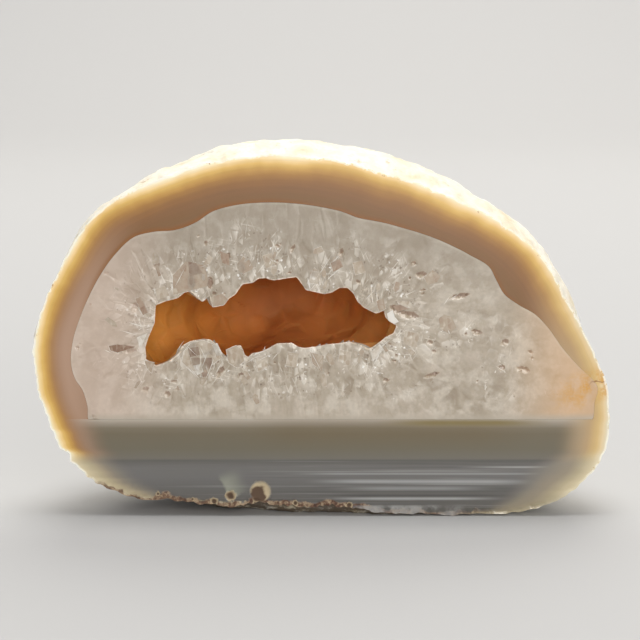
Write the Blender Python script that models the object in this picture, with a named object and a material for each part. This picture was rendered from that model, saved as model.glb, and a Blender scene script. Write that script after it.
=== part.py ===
# Half of an agate geode, sawn and polished, standing on its flat underside.
#
# Frame: metres, +Z up. The sawn face looks towards -Y and lies in the plane y = FACE_Y.
# The origin is on the flat patch that the stone rests on.
# Every outline is a list of (degrees, radius) pairs around HUB, seen from the front:
# 0 degrees points to +X and 90 degrees to +Z.
# All dimensions below are in millimetres.

import math
import random

import bmesh
import bpy
from mathutils import Matrix, Vector, noise

MM = 0.001

# Driving dimensions of the stone
DEPTH = 42.0                 # from the sawn face to the back of the stone
FACE_Y = -16.0               # plane of the sawn face
HUB_Z = 31.2                 # height of the point that the outlines turn around
FULLNESS = 2.4               # roundness of the back, from 2 for an ellipse towards a box
BACK_DRIFT = (2.0, -2.5)     # how far the back leans to +X and +Z
SWELL_TOP = 2.3              # how far the top bulges behind the sawn edge
SWELL_UNDER = 3.4            # how far the underside bulges before it is worn flat
SWELL_ALL = 0.5              # bulge all round
SWELL_REACH = 25.0           # depth over which the bulge rises and falls
TOP_LEAN = 78.0              # direction of the largest bulge, in degrees
LUMP_HEIGHT = 0.9            # the rind's lumps
LUMP_SIZE = 9.0

# Edge of the sawn face
CUT_EDGE = (
    (0, 46.4), (10, 43.1), (20, 40.9), (30, 38.3), (40, 35.5), (50, 33.2), (60, 31.8), (70, 31.0),
    (80, 31.2), (90, 31.7), (100, 32.8), (110, 34.2), (120, 36.0), (130, 38.2), (140, 41.3),
    (150, 44.7), (160, 46.4), (170, 48.1), (180, 50.1), (190, 50.3), (200, 49.8), (210, 47.7),
    (220, 42.3), (230, 36.8), (240, 33.6), (250, 30.6), (260, 30.1), (270, 29.7), (280, 30.4),
    (290, 32.8), (300, 35.9), (310, 40.6), (320, 47.3), (330, 52.1), (340, 53.2), (350, 50.6),
)

# Where the agate wall ends and the quartz begins
WALL_EDGE = (
    (3, 39.4), (7, 37.2), (10, 34.8), (14, 32.7), (19, 32.0), (24, 31.6), (30, 29.6), (40, 26.9),
    (52, 24.4), (62, 23.1), (73, 22.2), (81, 22.6), (91, 23.2), (101, 24.2), (112, 25.8),
    (123, 27.9), (130, 29.2), (137, 29.9), (143, 31.8), (147, 34.6), (151, 37.0), (157, 38.6),
    (164, 40.0), (170, 41.1), (175, 42.1), (180, 43.1), (185, 43.7), (189, 43.4), (192, 42.5),
    (196, 42.4), (200, 43.1), (215, 41.0), (235, 30.0), (270, 24.0), (305, 30.0), (328, 44.0),
    (343, 49.2), (347, 48.8), (350.5, 48.6), (354, 45.0), (358, 41.9),
)
QUARTZ_FLOOR_Z = 17.2        # top of the flat water-line layers
WALL_DEPTH = 33.0            # how far the quartz reaches behind the sawn face
WALL_FULLNESS = 2.2
SEAM = 0.3                   # gap between the quartz and the agate

# The open hollow in the quartz, around its own hub
HOLLOW_HUB = (-8.9, 34.6)
HOLLOW_MOUTH = (
    (0, 19.5), (12, 20.0), (24, 14.0), (50, 12.5), (68, 8.6), (90, 8.8), (112, 8.0), (128, 9.4),
    (150, 11.5), (165, 15.5), (172, 20.0), (182, 20.5), (195, 22.5), (205, 23.6), (218, 15.0),
    (232, 10.5), (252, 8.0), (270, 7.0), (290, 7.6), (310, 9.2), (330, 13.8), (346, 19.5),
)
HOLLOW_DEPTH = 25.0
HOLLOW_GROWTH = 0.28         # how much wider the hollow is inside than at its mouth
HOLLOW_DRIFT = (3.0, 0.8)    # how far the hollow wanders to +X and +Z as it goes back

# The crystals that line the hollow: (smallest, largest)
CRYSTAL_RADIUS = (1.3, 2.3)
CRYSTAL_LENGTH = (2.0, 3.8)
CRYSTAL_SPACING = 4.1        # least distance between two crystals
CRYSTAL_TRIES = 1500
MOUTH_SPACING = 4.4          # the same, round the mouth
MOUTH_TRIES = 200
MOUTH_CRYSTAL_RADIUS = (1.6, 2.7)
MOUTH_CRYSTAL_LENGTH = (1.8, 3.8)
CRYSTAL_ROOT = 1.5           # how deep a crystal is rooted in the crust
CRYSTAL_TILT = 24.0          # degrees
SAW_ALLOWANCE = 2.4          # quartz in front of the sawn face, which the saw takes off

# How finely the surfaces are divided
TURN_STEPS = 80
BACK_STEPS = 13
WALL_STEPS = 7
HOLLOW_TURNS = 44
HOLLOW_STEPS = 7
POLE_CROWDING = 1.3          # above 1, the rings stand closer together towards the back
RANDOM_SEED = 11


def smooth_radius(pairs, degrees):
    """Radius in a direction, on a smooth closed curve through (degrees, radius) pairs."""
    count = len(pairs)

    def pair(index):
        turn, place = divmod(index, count)
        return pairs[place][0] + 360.0 * turn, pairs[place][1]

    degrees = (degrees - pairs[0][0]) % 360.0 + pairs[0][0]
    low = max(i for i in range(count) if pairs[i][0] <= degrees)
    (a0, r0), (a1, r1), (a2, r2), (a3, r3) = (pair(low + step) for step in (-1, 0, 1, 2))
    span = a2 - a1
    t = (degrees - a1) / span
    leave = (r2 - r0) / (a2 - a0) * span
    arrive = (r3 - r1) / (a3 - a1) * span
    return (
        (2 * t**3 - 3 * t**2 + 1) * r1
        + (t**3 - 2 * t**2 + t) * leave
        + (3 * t**2 - 2 * t**3) * r2
        + (t**3 - t**2) * arrive
    )


def rounded_radius(pairs, degrees):
    """The same curve with its small bends ironed out, by averaging over a range of directions."""
    offsets = range(-28, 29, 7)
    return sum(smooth_radius(pairs, degrees + offset) for offset in offsets) / len(offsets)


def shrink_at(share, fullness):
    """How wide a rounded dome still is at this share of its depth."""
    return max(0.0, 1.0 - share**fullness) ** (1.0 / fullness)


def facing(degrees, towards, sharpness):
    """1 in one direction, fading to 0 a quarter turn away."""
    return max(0.0, math.cos(math.radians(degrees - towards))) ** sharpness


def on_ray(hub, degrees, radius, y):
    angle = math.radians(degrees)
    return Vector((hub[0] + radius * math.cos(angle), y, hub[1] + radius * math.sin(angle)))


def rind_point(degrees, share):
    """A point of the outside. share is 0 at the sawn edge and 1 at the back of the stone."""
    back = DEPTH * math.sin(share * math.pi / 2)
    swell = (
        SWELL_TOP * facing(degrees, TOP_LEAN, 1.4)
        + SWELL_UNDER * facing(degrees, 275.0, 2.0)
        + SWELL_ALL
    ) * math.sin(math.pi * min(back / SWELL_REACH, 1.0))
    rounding = min(1.0, back / SWELL_REACH)
    outline = (1.0 - rounding) * smooth_radius(CUT_EDGE, degrees) + rounding * rounded_radius(CUT_EDGE, degrees)
    radius = outline * shrink_at(back / DEPTH, FULLNESS) + swell
    lean = (back / DEPTH) ** 2
    hub = (BACK_DRIFT[0] * lean, HUB_Z + BACK_DRIFT[1] * lean)
    point = on_ray(hub, degrees, radius, FACE_Y + back)
    lump = noise.fractal(point / LUMP_SIZE, 1.0, 2.0, 3) * LUMP_HEIGHT
    lump *= min(1.0, back / 6.0) * min(1.0, radius / 12.0)
    point += lump * (point - Vector((0.0, FACE_Y, HUB_Z))).normalized()
    point.z = max(point.z, 0.0)
    point.y = max(point.y, FACE_Y)
    return point


def wall_point(degrees, share, gap):
    """A point of the surface between agate and quartz, moved inwards by gap."""
    depth = WALL_DEPTH - gap
    back = depth * math.sin(share * math.pi / 2)
    radius = (smooth_radius(WALL_EDGE, degrees) - gap) * shrink_at(back / depth, WALL_FULLNESS)
    rise = math.sin(math.radians(degrees))
    if rise < 0:
        radius = min(radius, (HUB_Z - QUARTZ_FLOOR_Z - gap) / -rise)
    return on_ray((0.0, HUB_Z), degrees, radius, FACE_Y + back)


def hollow_point(degrees, share):
    """A point of the hollow's wall, before the crystals grow on it."""
    back = HOLLOW_DEPTH * math.sin(share * math.pi / 2)
    growth = 1.0 + HOLLOW_GROWTH * math.sin(math.pi * min(back / 14.0, 1.0))
    radius = smooth_radius(HOLLOW_MOUTH, degrees) * growth * shrink_at(back / HOLLOW_DEPTH, 2.4)
    drift = back / HOLLOW_DEPTH
    hub = (HOLLOW_HUB[0] + HOLLOW_DRIFT[0] * drift, HOLLOW_HUB[1] + HOLLOW_DRIFT[1] * drift)
    return on_ray(hub, degrees, radius, FACE_Y + back)


def ring(bm, points):
    return [bm.verts.new(point * MM) for point in points]


def bridge(bm, first, second):
    """Quads between two rings with the same number of points."""
    count = len(first)
    for i in range(count):
        j = (i + 1) % count
        bm.faces.new((first[i], first[j], second[j], second[i]))


def close_with_point(bm, last, point):
    """A fan from the last ring to one point."""
    tip = bm.verts.new(point * MM)
    for i in range(len(last)):
        bm.faces.new((last[i], last[(i + 1) % len(last)], tip))


def turns(count):
    return [360.0 * i / count for i in range(count)]


def cup(bm, front, place, rings):
    """A rounded wall from a front ring to the point at its back."""
    last = front
    for step in range(1, rings):
        share = 1.0 - (1.0 - step / rings) ** POLE_CROWDING
        angles = turns(len(front))
        following = ring(bm, [place(degrees, share) for degrees in angles])
        bridge(bm, last, following)
        last = following
    close_with_point(bm, last, place(0.0, 1.0))


def add_object(name, bm, material):
    bmesh.ops.triangulate(bm, faces=bm.faces[:])
    bmesh.ops.recalc_face_normals(bm, faces=bm.faces[:])
    mesh = bpy.data.meshes.new(name)
    bm.to_mesh(mesh)
    bm.free()
    made = bpy.data.objects.new(name, mesh)
    bpy.context.scene.collection.objects.link(made)
    if material:
        mesh.materials.append(material)
    return made


def stone_material(name, colour, roughness):
    """A plain stone finish. Nothing here is metal."""
    made = bpy.data.materials.new(name)
    made.use_nodes = True
    shader = made.node_tree.nodes["Principled BSDF"]
    shader.inputs["Base Color"].default_value = (*colour, 1.0)
    shader.inputs["Roughness"].default_value = roughness
    shader.inputs["Metallic"].default_value = 0.0
    return made


def make_agate_shell():
    """Rind, banded wall and water-line layers: one grown stone with a pocket for the quartz."""
    bm = bmesh.new()
    angles = turns(TURN_STEPS)
    outer = ring(bm, [rind_point(degrees, 0.0) for degrees in angles])
    inner = ring(bm, [wall_point(degrees, 0.0, 0.0) for degrees in angles])
    bridge(bm, outer, inner)
    cup(bm, outer, rind_point, BACK_STEPS)
    cup(bm, inner, lambda degrees, share: wall_point(degrees, share, 0.0), WALL_STEPS)
    return add_object("agate_shell", bm, stone_material("agate", (0.62, 0.45, 0.28), 0.25))


def make_crust_blank():
    """The quartz before sawing: a thick lining that stands a little proud of the sawn face."""
    bm = bmesh.new()
    saw = Vector((0.0, -SAW_ALLOWANCE, 0.0))
    wall_front = [wall_point(degrees, 0.0, SEAM) for degrees in turns(TURN_STEPS)]
    mouth_front = [hollow_point(degrees, 0.0) for degrees in turns(HOLLOW_TURNS)]
    outer = ring(bm, wall_front)
    inner = ring(bm, mouth_front)
    outer_saw = ring(bm, [point + saw for point in wall_front])
    inner_saw = ring(bm, [point + saw for point in mouth_front])
    bridge(bm, outer, outer_saw)
    bridge(bm, inner, inner_saw)
    edges = [bm.edges.get((rim[i - 1], rim[i])) for rim in (outer_saw, inner_saw) for i in range(len(rim))]
    bmesh.ops.triangle_fill(bm, edges=edges, use_beauty=True, normal=(0.0, -1.0, 0.0))
    cup(bm, outer, lambda degrees, share: wall_point(degrees, share, SEAM), WALL_STEPS)
    cup(bm, inner, hollow_point, HOLLOW_STEPS)
    return add_object("quartz_crust", bm, stone_material("quartz", (0.72, 0.68, 0.60), 0.2))


def add_crystal(bm, root, direction, radius, length, spin):
    """A six-sided quartz point: a short prism with a pyramid on its end."""
    upright = direction.to_track_quat("Z", "Y").to_matrix().to_4x4()
    place = Matrix.Translation(root) @ upright @ Matrix.Rotation(spin, 4, "Z")
    shoulder = CRYSTAL_ROOT + length * 0.55
    sides = [Vector((math.cos(i * math.pi / 3), math.sin(i * math.pi / 3), 0.0)) * radius for i in range(6)]
    foot = ring(bm, [place @ side for side in sides])
    neck = ring(bm, [place @ (side * 0.94 + Vector((0.0, 0.0, shoulder))) for side in sides])
    bm.faces.new(foot)
    bridge(bm, foot, neck)
    close_with_point(bm, neck, place @ Vector((0.0, 0.0, CRYSTAL_ROOT + length)))


def inwards_from(degrees, share):
    """The direction that points straight out of the hollow's wall, into the hollow."""
    here = hollow_point(degrees, share)
    along = hollow_point(degrees, share + 0.03) - here
    around = hollow_point(degrees + 3.0, share) - here
    straight = along.cross(around).normalized()
    hub = Vector((HOLLOW_HUB[0], FACE_Y + HOLLOW_DEPTH * 0.45, HOLLOW_HUB[1]))
    return straight if straight.dot(hub - here) > 0 else -straight


def spread_out(dice, tries, spacing, shares, taken):
    """Directions and shares of points on the hollow's wall that keep a distance from each other."""
    kept = []
    for _ in range(tries):
        place = (dice.uniform(0.0, 360.0), dice.uniform(*shares))
        here = hollow_point(*place)
        if all((here - other).length > spacing for other in taken):
            taken.append(here)
            kept.append(place)
    return kept


def make_crystal(name, place, radii, lengths, dice):
    """One quartz point that stands on the hollow's wall and leans a little to one side."""
    inwards = inwards_from(*place)
    tilt = math.radians(CRYSTAL_TILT) * dice.uniform(0.2, 1.0)
    aside = inwards.cross(Vector((dice.uniform(-1, 1), dice.uniform(-1, 1), dice.uniform(-1, 1))))
    direction = Matrix.Rotation(tilt, 3, aside.normalized()) @ inwards
    root = hollow_point(*place) - direction * CRYSTAL_ROOT
    bm = bmesh.new()
    add_crystal(bm, root, direction, dice.uniform(*radii), dice.uniform(*lengths), dice.uniform(0, 1))
    return add_object(name, bm, None)


def make_crystals():
    """Quartz points round the hollow's mouth, where the saw met them, and over its whole wall."""
    dice = random.Random(RANDOM_SEED)
    taken = []
    mouth = spread_out(dice, MOUTH_TRIES, MOUTH_SPACING, (0.0, 0.06), taken)
    wall = spread_out(dice, CRYSTAL_TRIES, CRYSTAL_SPACING, (0.1, 0.97), taken)
    made = []
    for place in mouth:
        name = f"mouth_crystal_{len(made):02d}"
        made.append(make_crystal(name, place, MOUTH_CRYSTAL_RADIUS, MOUTH_CRYSTAL_LENGTH, dice))
    for place in wall:
        name = f"wall_crystal_{len(made):02d}"
        made.append(make_crystal(name, place, CRYSTAL_RADIUS, CRYSTAL_LENGTH, dice))
    return made


def make_saw_block():
    """What the saw takes off: everything in front of the sawn face."""
    bm = bmesh.new()
    bmesh.ops.create_cube(bm, size=1.0)
    bmesh.ops.scale(bm, vec=Vector((140.0, 20.0, 100.0)) * MM, verts=bm.verts)
    bmesh.ops.translate(bm, vec=Vector((0.0, FACE_Y - 10.0, HUB_Z)) * MM, verts=bm.verts)
    return add_object("saw_block", bm, None)


def hide_helper(helper):
    helper.hide_render = True
    helper.display_type = "WIRE"


def boolean(target, operation, other):
    cut = target.modifiers.new(operation.lower(), "BOOLEAN")
    cut.operation = operation
    cut.solver = "EXACT"
    if isinstance(other, bpy.types.Collection):
        cut.operand_type = "COLLECTION"
        cut.collection = other
    else:
        cut.object = other


def main():
    for old in list(bpy.data.objects):
        bpy.data.objects.remove(old)
    make_agate_shell()
    crust = make_crust_blank()
    grown = bpy.data.collections.new("crystals")
    bpy.context.scene.collection.children.link(grown)
    for crystal in make_crystals():
        bpy.context.scene.collection.objects.unlink(crystal)
        grown.objects.link(crystal)
        hide_helper(crystal)
    saw_block = make_saw_block()
    hide_helper(saw_block)
    boolean(crust, "UNION", grown)
    boolean(crust, "DIFFERENCE", saw_block)


main()
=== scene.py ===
import math

import bpy
import numpy as np
from mathutils import Matrix, Vector, geometry, noise


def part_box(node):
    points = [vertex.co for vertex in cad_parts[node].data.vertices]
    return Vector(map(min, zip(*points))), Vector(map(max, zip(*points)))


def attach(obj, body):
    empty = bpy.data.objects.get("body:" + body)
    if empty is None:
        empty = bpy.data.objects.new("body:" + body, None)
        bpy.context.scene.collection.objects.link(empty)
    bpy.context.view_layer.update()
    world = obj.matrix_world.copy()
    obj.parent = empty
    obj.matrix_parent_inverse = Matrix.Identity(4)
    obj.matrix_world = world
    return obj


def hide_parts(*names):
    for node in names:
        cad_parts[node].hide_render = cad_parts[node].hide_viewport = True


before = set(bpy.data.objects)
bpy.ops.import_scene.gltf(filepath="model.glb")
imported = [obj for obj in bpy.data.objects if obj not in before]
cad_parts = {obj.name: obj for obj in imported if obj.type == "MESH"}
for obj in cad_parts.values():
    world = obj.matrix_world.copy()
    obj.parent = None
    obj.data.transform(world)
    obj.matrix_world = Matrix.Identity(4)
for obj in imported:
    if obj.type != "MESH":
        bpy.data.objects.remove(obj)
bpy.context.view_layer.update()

# Half an agate geode, sawn and polished, standing on a pale floor.
# Lengths in the dictionaries are millimetres. Outlines turn round a hub, seen from the front:
# 0 degrees points to +X and 90 degrees to +Z.

mm = 0.001
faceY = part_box("agate_shell")[0].y / mm  # plane of the sawn face

stoneForm = {
    "depth": 42.0,
    "hubHeight": 31.2,
    "fullness": 2.4,
    "backDrift": (2.0, -2.5),
    "swellTop": 2.3,
    "swellUnder": 3.4,
    "swellAll": 0.5,
    "swellReach": 25.0,
    "topLean": 78.0,       # degrees
    "underLean": 275.0,
    "lumpHeight": 0.9,
    "lumpSize": 9.0,
    "cutEdge": (
        (0, 46.4), (10, 43.1), (20, 40.9), (30, 38.3), (40, 35.5), (50, 33.2), (60, 31.8), (70, 31.0),
        (80, 31.2), (90, 31.7), (100, 32.8), (110, 34.2), (120, 36.0), (130, 38.2), (140, 41.3),
        (150, 44.7), (160, 46.4), (170, 48.1), (180, 50.1), (190, 50.3), (200, 49.8), (210, 47.7),
        (220, 42.3), (230, 36.8), (240, 33.6), (250, 30.6), (260, 30.1), (270, 29.7), (280, 30.4),
        (290, 32.8), (300, 35.9), (310, 40.6), (320, 47.3), (330, 52.1), (340, 53.2), (350, 50.6),
    ),
    "wallEdge": (
        (3, 39.4), (7, 37.2), (10, 34.8), (14, 32.7), (19, 32.0), (24, 31.6), (30, 29.6), (40, 26.9),
        (52, 24.4), (62, 23.1), (73, 22.2), (81, 22.6), (91, 23.2), (101, 24.2), (112, 25.8),
        (123, 27.9), (130, 29.2), (137, 29.9), (143, 31.8), (147, 34.6), (151, 37.0), (157, 38.6),
        (164, 40.0), (170, 41.1), (175, 42.1), (180, 43.1), (185, 43.7), (189, 43.4), (192, 42.5),
        (196, 42.4), (200, 43.1), (215, 41.0), (235, 30.0), (270, 24.0), (305, 30.0), (328, 44.0),
        (343, 49.2), (347, 48.8), (350.5, 48.6), (354, 45.0), (358, 41.9),
    ),
    "quartzFloor": 17.2,   # height of the flat top of the water-line layers
    "wallDepth": 33.0,
    "wallFullness": 2.2,
}


# Shapes

def smoothRadius(pairs, degrees):
    # radius on a smooth closed curve through (degrees, radius) pairs
    angles, radii = (np.array(column, float) for column in zip(*pairs))
    count = len(pairs)
    turned = (np.asarray(degrees, float) - angles[0]) % 360.0 + angles[0]
    low = np.searchsorted(angles, turned, side="right") - 1
    steps = [low - 1, low, low + 1, low + 2]
    a0, a1, a2, a3 = (angles[step % count] + 360.0 * (step // count) for step in steps)
    r0, r1, r2, r3 = (radii[step % count] for step in steps)
    span = a2 - a1
    t = (turned - a1) / span
    leave = (r2 - r0) / (a2 - a0) * span
    arrive = (r3 - r1) / (a3 - a1) * span
    return ((2 * t**3 - 3 * t**2 + 1) * r1 + (t**3 - 2 * t**2 + t) * leave
            + (3 * t**2 - 2 * t**3) * r2 + (t**3 - t**2) * arrive)


def smoothStep(low, high, values):
    t = np.clip((np.asarray(values, float) - low) / (high - low), 0.0, 1.0)
    return t * t * (3.0 - 2.0 * t)


def shrinkAt(share, fullness):
    return np.maximum(0.0, 1.0 - share**fullness) ** (1.0 / fullness)


def facing(degrees, towards, sharpness):
    return np.maximum(0.0, np.cos(np.radians(degrees - towards))) ** sharpness


def onRay(hub, degrees, radius, y):
    angle = np.radians(degrees)
    points = np.empty((len(angle), 3))
    points[:, 0] = hub[0] + radius * np.cos(angle)
    points[:, 1] = y
    points[:, 2] = hub[1] + radius * np.sin(angle)
    return points


def fractalAt(points, size, octaves=3):
    return np.array([noise.fractal(Vector(point) / size, 1.0, 2.0, octaves) for point in points])


def noiseAt(points, size):
    return np.array([noise.noise(Vector(point) / size) for point in points])


def standing(flat, y):
    # (x, z) points stood up at y, which is one value or one for each point
    return np.stack([flat[:, 0], np.broadcast_to(y, len(flat)), flat[:, 1]], axis=1)


def facetAt(points, size):
    # height of flat facets, one to each cell of about this size and each tilted its own way
    heights = []
    for point in points:
        place = Vector(point) / size
        seed = noise.voronoi(place)[1][0]
        tilt = noise.cell_vector(seed * 97.0) - Vector((0.5, 0.5, 0.5))
        heights.append((place - seed).dot(tilt))
    return np.array(heights) * size


def roundedRadius(pairs, degrees):
    offsets = range(-28, 29, 7)
    return sum(smoothRadius(pairs, degrees + offset) for offset in offsets) / len(offsets)


def rindRing(degrees, share):
    # one ring of the outside: share is 0 at the sawn edge and 1 at the back of the stone
    form = stoneForm
    back = form["depth"] * math.sin(share * math.pi / 2)
    swell = (
        form["swellTop"] * facing(degrees, form["topLean"], 1.4)
        + form["swellUnder"] * facing(degrees, form["underLean"], 2.0)
        + form["swellAll"]
    ) * math.sin(math.pi * min(back / form["swellReach"], 1.0))
    rounding = min(1.0, back / form["swellReach"])
    outline = ((1.0 - rounding) * smoothRadius(form["cutEdge"], degrees)
               + rounding * roundedRadius(form["cutEdge"], degrees))
    radius = outline * shrinkAt(back / form["depth"], form["fullness"]) + swell
    lean = (back / form["depth"]) ** 2
    hub = (form["backDrift"][0] * lean, form["hubHeight"] + form["backDrift"][1] * lean)
    points = onRay(hub, degrees, radius, faceY + back)
    lump = fractalAt(points, form["lumpSize"]) * form["lumpHeight"]
    lump *= min(1.0, back / 6.0) * np.minimum(1.0, radius / 12.0)
    outwards = points - np.array((0.0, faceY, form["hubHeight"]))
    outwards /= np.linalg.norm(outwards, axis=1)[:, None] + 1e-9
    return points + lump[:, None] * outwards, outwards, back


def wallRing(degrees, share, gap):
    # one ring of the surface between agate and quartz, moved inwards by gap
    form = stoneForm
    depth = form["wallDepth"] - gap
    back = depth * math.sin(share * math.pi / 2)
    radius = (smoothRadius(form["wallEdge"], degrees) - gap) * shrinkAt(back / depth, form["wallFullness"])
    rise = np.minimum(-1e-6, np.sin(np.radians(degrees)))
    floorReach = (form["hubHeight"] - form["quartzFloor"] - gap) / -rise
    radius = np.where(rise < -1e-5, np.minimum(radius, floorReach), radius)
    return onRay((0.0, form["hubHeight"]), degrees, radius, faceY + back)


def insideOutline(points, outline):
    # True for each (x, z) point within a closed outline
    inside = np.zeros(len(points), bool)
    for (x1, z1), (x2, z2) in zip(outline, np.roll(outline, -1, axis=0)):
        if z1 == z2:
            continue
        crosses = (z1 > points[:, 1]) != (z2 > points[:, 1])
        inside ^= crosses & (points[:, 0] < (x2 - x1) * (points[:, 1] - z1) / (z2 - z1) + x1)
    return inside


def gapTo(points, outline):
    # shortest distance from each (x, z) point to a closed outline
    nearest = np.full(len(points), 1e9)
    for start, end in zip(outline, np.roll(outline, -1, axis=0)):
        along = end - start
        share = np.clip(((points - start) @ along) / max(along @ along, 1e-12), 0.0, 1.0)
        nearest = np.minimum(nearest, ((points - start - share[:, None] * along) ** 2).sum(axis=1))
    return np.sqrt(nearest)


def scatterPoints(outer, inner, spacing, dice):
    # loosely spaced points between two closed outlines
    low, high = outer.min(axis=0), outer.max(axis=0)
    columns = np.arange(low[0], high[0], spacing)
    rows = np.arange(low[1], high[1], spacing * 0.866)
    gridX, gridZ = np.meshgrid(columns, rows)
    gridX = gridX + (np.arange(len(rows)) % 2)[:, None] * spacing * 0.5
    points = np.stack([gridX.ravel(), gridZ.ravel()], axis=1)
    points += dice.uniform(-0.22, 0.22, points.shape) * spacing
    points = points[insideOutline(points, outer) & ~insideOutline(points, inner)]
    far = (gapTo(points, outer) > spacing * 0.5) & (gapTo(points, inner) > spacing * 0.5)
    return points[far]


def fillBetween(outer, inner, points):
    # triangles that fill the face between two outlines through the points, as (points, faces):
    # the outlines' own points come first
    given = np.concatenate([outer, inner, points])
    first, second = len(outer), len(inner)
    edges = [(i, (i + 1) % first) for i in range(first)]
    edges += [(first + i, first + (i + 1) % second) for i in range(second)]
    found = geometry.delaunay_2d_cdt([Vector(p) for p in given], edges, [], 0, 1e-6)
    places = np.array([tuple(p) for p in found[0]])
    order = np.array([origins[0] if origins else -1 for origins in found[3]])
    faces = np.array(found[2])
    middles = places[faces].mean(axis=1)
    faces = faces[insideOutline(middles, outer) & ~insideOutline(middles, inner)]
    if (order[np.unique(faces)] < 0).any():
        raise ValueError("the outlines of the face cross each other")
    return given, order[faces]


def ringFaces(first, second, count):
    # triangles between two rings of points with the same count, by the index of their first points
    i = np.arange(count)
    j = (i + 1) % count
    return np.concatenate([
        np.stack([first + i, first + j, second + j], axis=1),
        np.stack([first + i, second + j, second + i], axis=1),
    ])


def tipFaces(first, tip, count):
    i = np.arange(count)
    return np.stack([first + i, first + (i + 1) % count, np.full(count, tip)], axis=1)


class Shape:
    # gathers the points, triangles and finishes of one piece
    def __init__(self):
        self.points, self.faces, self.finishes, self.count = [], [], [], 0

    def addPoints(self, points):
        self.points.append(np.asarray(points, float))
        self.count += len(points)
        return self.count - len(points)

    def addFaces(self, faces, finish):
        self.faces.append(np.asarray(faces))
        self.finishes.append(np.full(len(faces), finish))

    def wholeMark(self, values, elsewhere=0.0):
        # a mark with its values for the first points, those of the sawn face, and one value for the rest
        rest = np.full((self.count - len(values), *values.shape[1:]), elsewhere)
        return np.concatenate([values, rest])

    def build(self, name, materials, sharpAngle, marks):
        mesh = bpy.data.meshes.new(name)
        faces = np.concatenate(self.faces)
        points = np.concatenate(self.points)
        points[:, 1] = np.maximum(points[:, 1], faceY)  # the saw leaves nothing in front of the face
        mesh.from_pydata((points * mm).tolist(), [], faces.tolist())
        for material in materials:
            mesh.materials.append(material)
        mesh.polygons.foreach_set("material_index", np.concatenate(self.finishes).astype(np.int32))
        for markName, values in marks.items():
            kind = "FLOAT_VECTOR" if np.ndim(values) == 2 else "FLOAT"
            mark = mesh.attributes.new(markName, kind, "POINT")
            field = "vector" if np.ndim(values) == 2 else "value"
            mark.data.foreach_set(field, np.ravel(values).astype(np.float32))
        mesh.shade_smooth()
        mesh.set_sharp_from_angle(angle=math.radians(sharpAngle))
        mesh.update()
        piece = bpy.data.objects.new(name, mesh)
        bpy.context.scene.collection.objects.link(piece)
        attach(piece, "root")
        print(f"{name}: {len(faces)} triangles")
        return piece


# Materials

def linearColour(code):
    values = [int(code[i:i + 2], 16) / 255.0 for i in (1, 3, 5)]
    return tuple(v / 12.92 if v <= 0.04045 else ((v + 0.055) / 1.055) ** 2.4 for v in values) + (1.0,)


class Look:
    # one material. Patterns are noise with a size in mm, detail and roughness, marks are values from the mesh
    def __init__(self, name, patterns, marks=()):
        self.material = bpy.data.materials.new(name)
        self.material.use_nodes = True
        self.tree = self.material.node_tree
        self.tree.nodes.clear()
        place = (self.add("TexCoord"), "Object")
        self.place = self.add("VectorMath", {0: place, "Scale": 1.0 / mm}, operation="SCALE")   # in mm
        spot = self.add("SeparateXYZ", {0: self.place})
        self.x, self.y, self.z = ((spot, axis) for axis in "XYZ")
        self.pattern, self.mark = {}, {}
        for label, (size, detail, roughness) in patterns.items():
            self.pattern[label] = self.add("TexNoise", {
                "Vector": self.place, "Scale": 1 / size, "Detail": detail, "Roughness": roughness})
        for label in marks:
            self.mark[label] = (self.add("Attribute", attribute_name=label), "Fac")

    def add(self, kind, inputs=None, stops=None, **settings):
        # adds a node. An input takes a value, a colour as hex, a node for its first output,
        # or a node with the name of an output
        node = self.tree.nodes.new("ShaderNode" + kind)
        for name, value in settings.items():
            setattr(node, name, value)
        for name, value in (inputs or {}).items():
            socket = node.inputs[name]
            if isinstance(value, bpy.types.Node):
                self.tree.links.new(value.outputs[0], socket)
            elif isinstance(value, tuple) and isinstance(value[0], bpy.types.Node):
                self.tree.links.new(value[0].outputs[value[1]], socket)
            else:
                socket.default_value = linearColour(value) if isinstance(value, str) else value
        if stops:
            ramp = node.color_ramp.elements
            while len(ramp) < len(stops):
                ramp.new(0.5)
            for element, (position, colour) in zip(ramp, stops):
                element.position = position
                element.color = linearColour(colour) if isinstance(colour, str) else (colour,) * 3 + (1.0,)
        return node

    def product(self, *parts):
        # parts are plain values, soft steps (value, low, high) from 0 at low to 1 at high,
        # or straight ramps (value, low, high, least, most)
        result = None
        for part in parts:
            if isinstance(part, tuple) and len(part) > 2:
                names = ("Value", "From Min", "From Max", "To Min", "To Max")
                way = "SMOOTHSTEP" if len(part) == 3 else "LINEAR"
                part = self.add("MapRange", dict(zip(names, part)), interpolation_type=way)
            result = part if result is None else self.add("Math", {0: result, 1: part}, operation="MULTIPLY")
        return result

    def paint(self, under, colour, *parts):
        # lays a colour over what is there, as strongly as the parts say
        return self.add("MixRGB", {"Fac": self.product(*parts), "Color1": under, "Color2": colour})

    def shade(self, under, texture, low, high, least, most):
        ramp = self.product((texture, low, high, least, most))
        return self.add("MixRGB", {"Fac": 1.0, "Color1": under, "Color2": ramp}, blend_type="MULTIPLY")

    def finish(self, inputs, bump=None):
        # bump is a height, its strength and its distance in mm
        if bump:
            height, strength, distance = bump
            relief = {"Height": height, "Strength": strength, "Distance": distance * mm}
            inputs = {**inputs, "Normal": self.add("Bump", relief)}
        self.add("OutputMaterial", {"Surface": self.add("BsdfPrincipled", inputs)})
        return self.material


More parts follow.
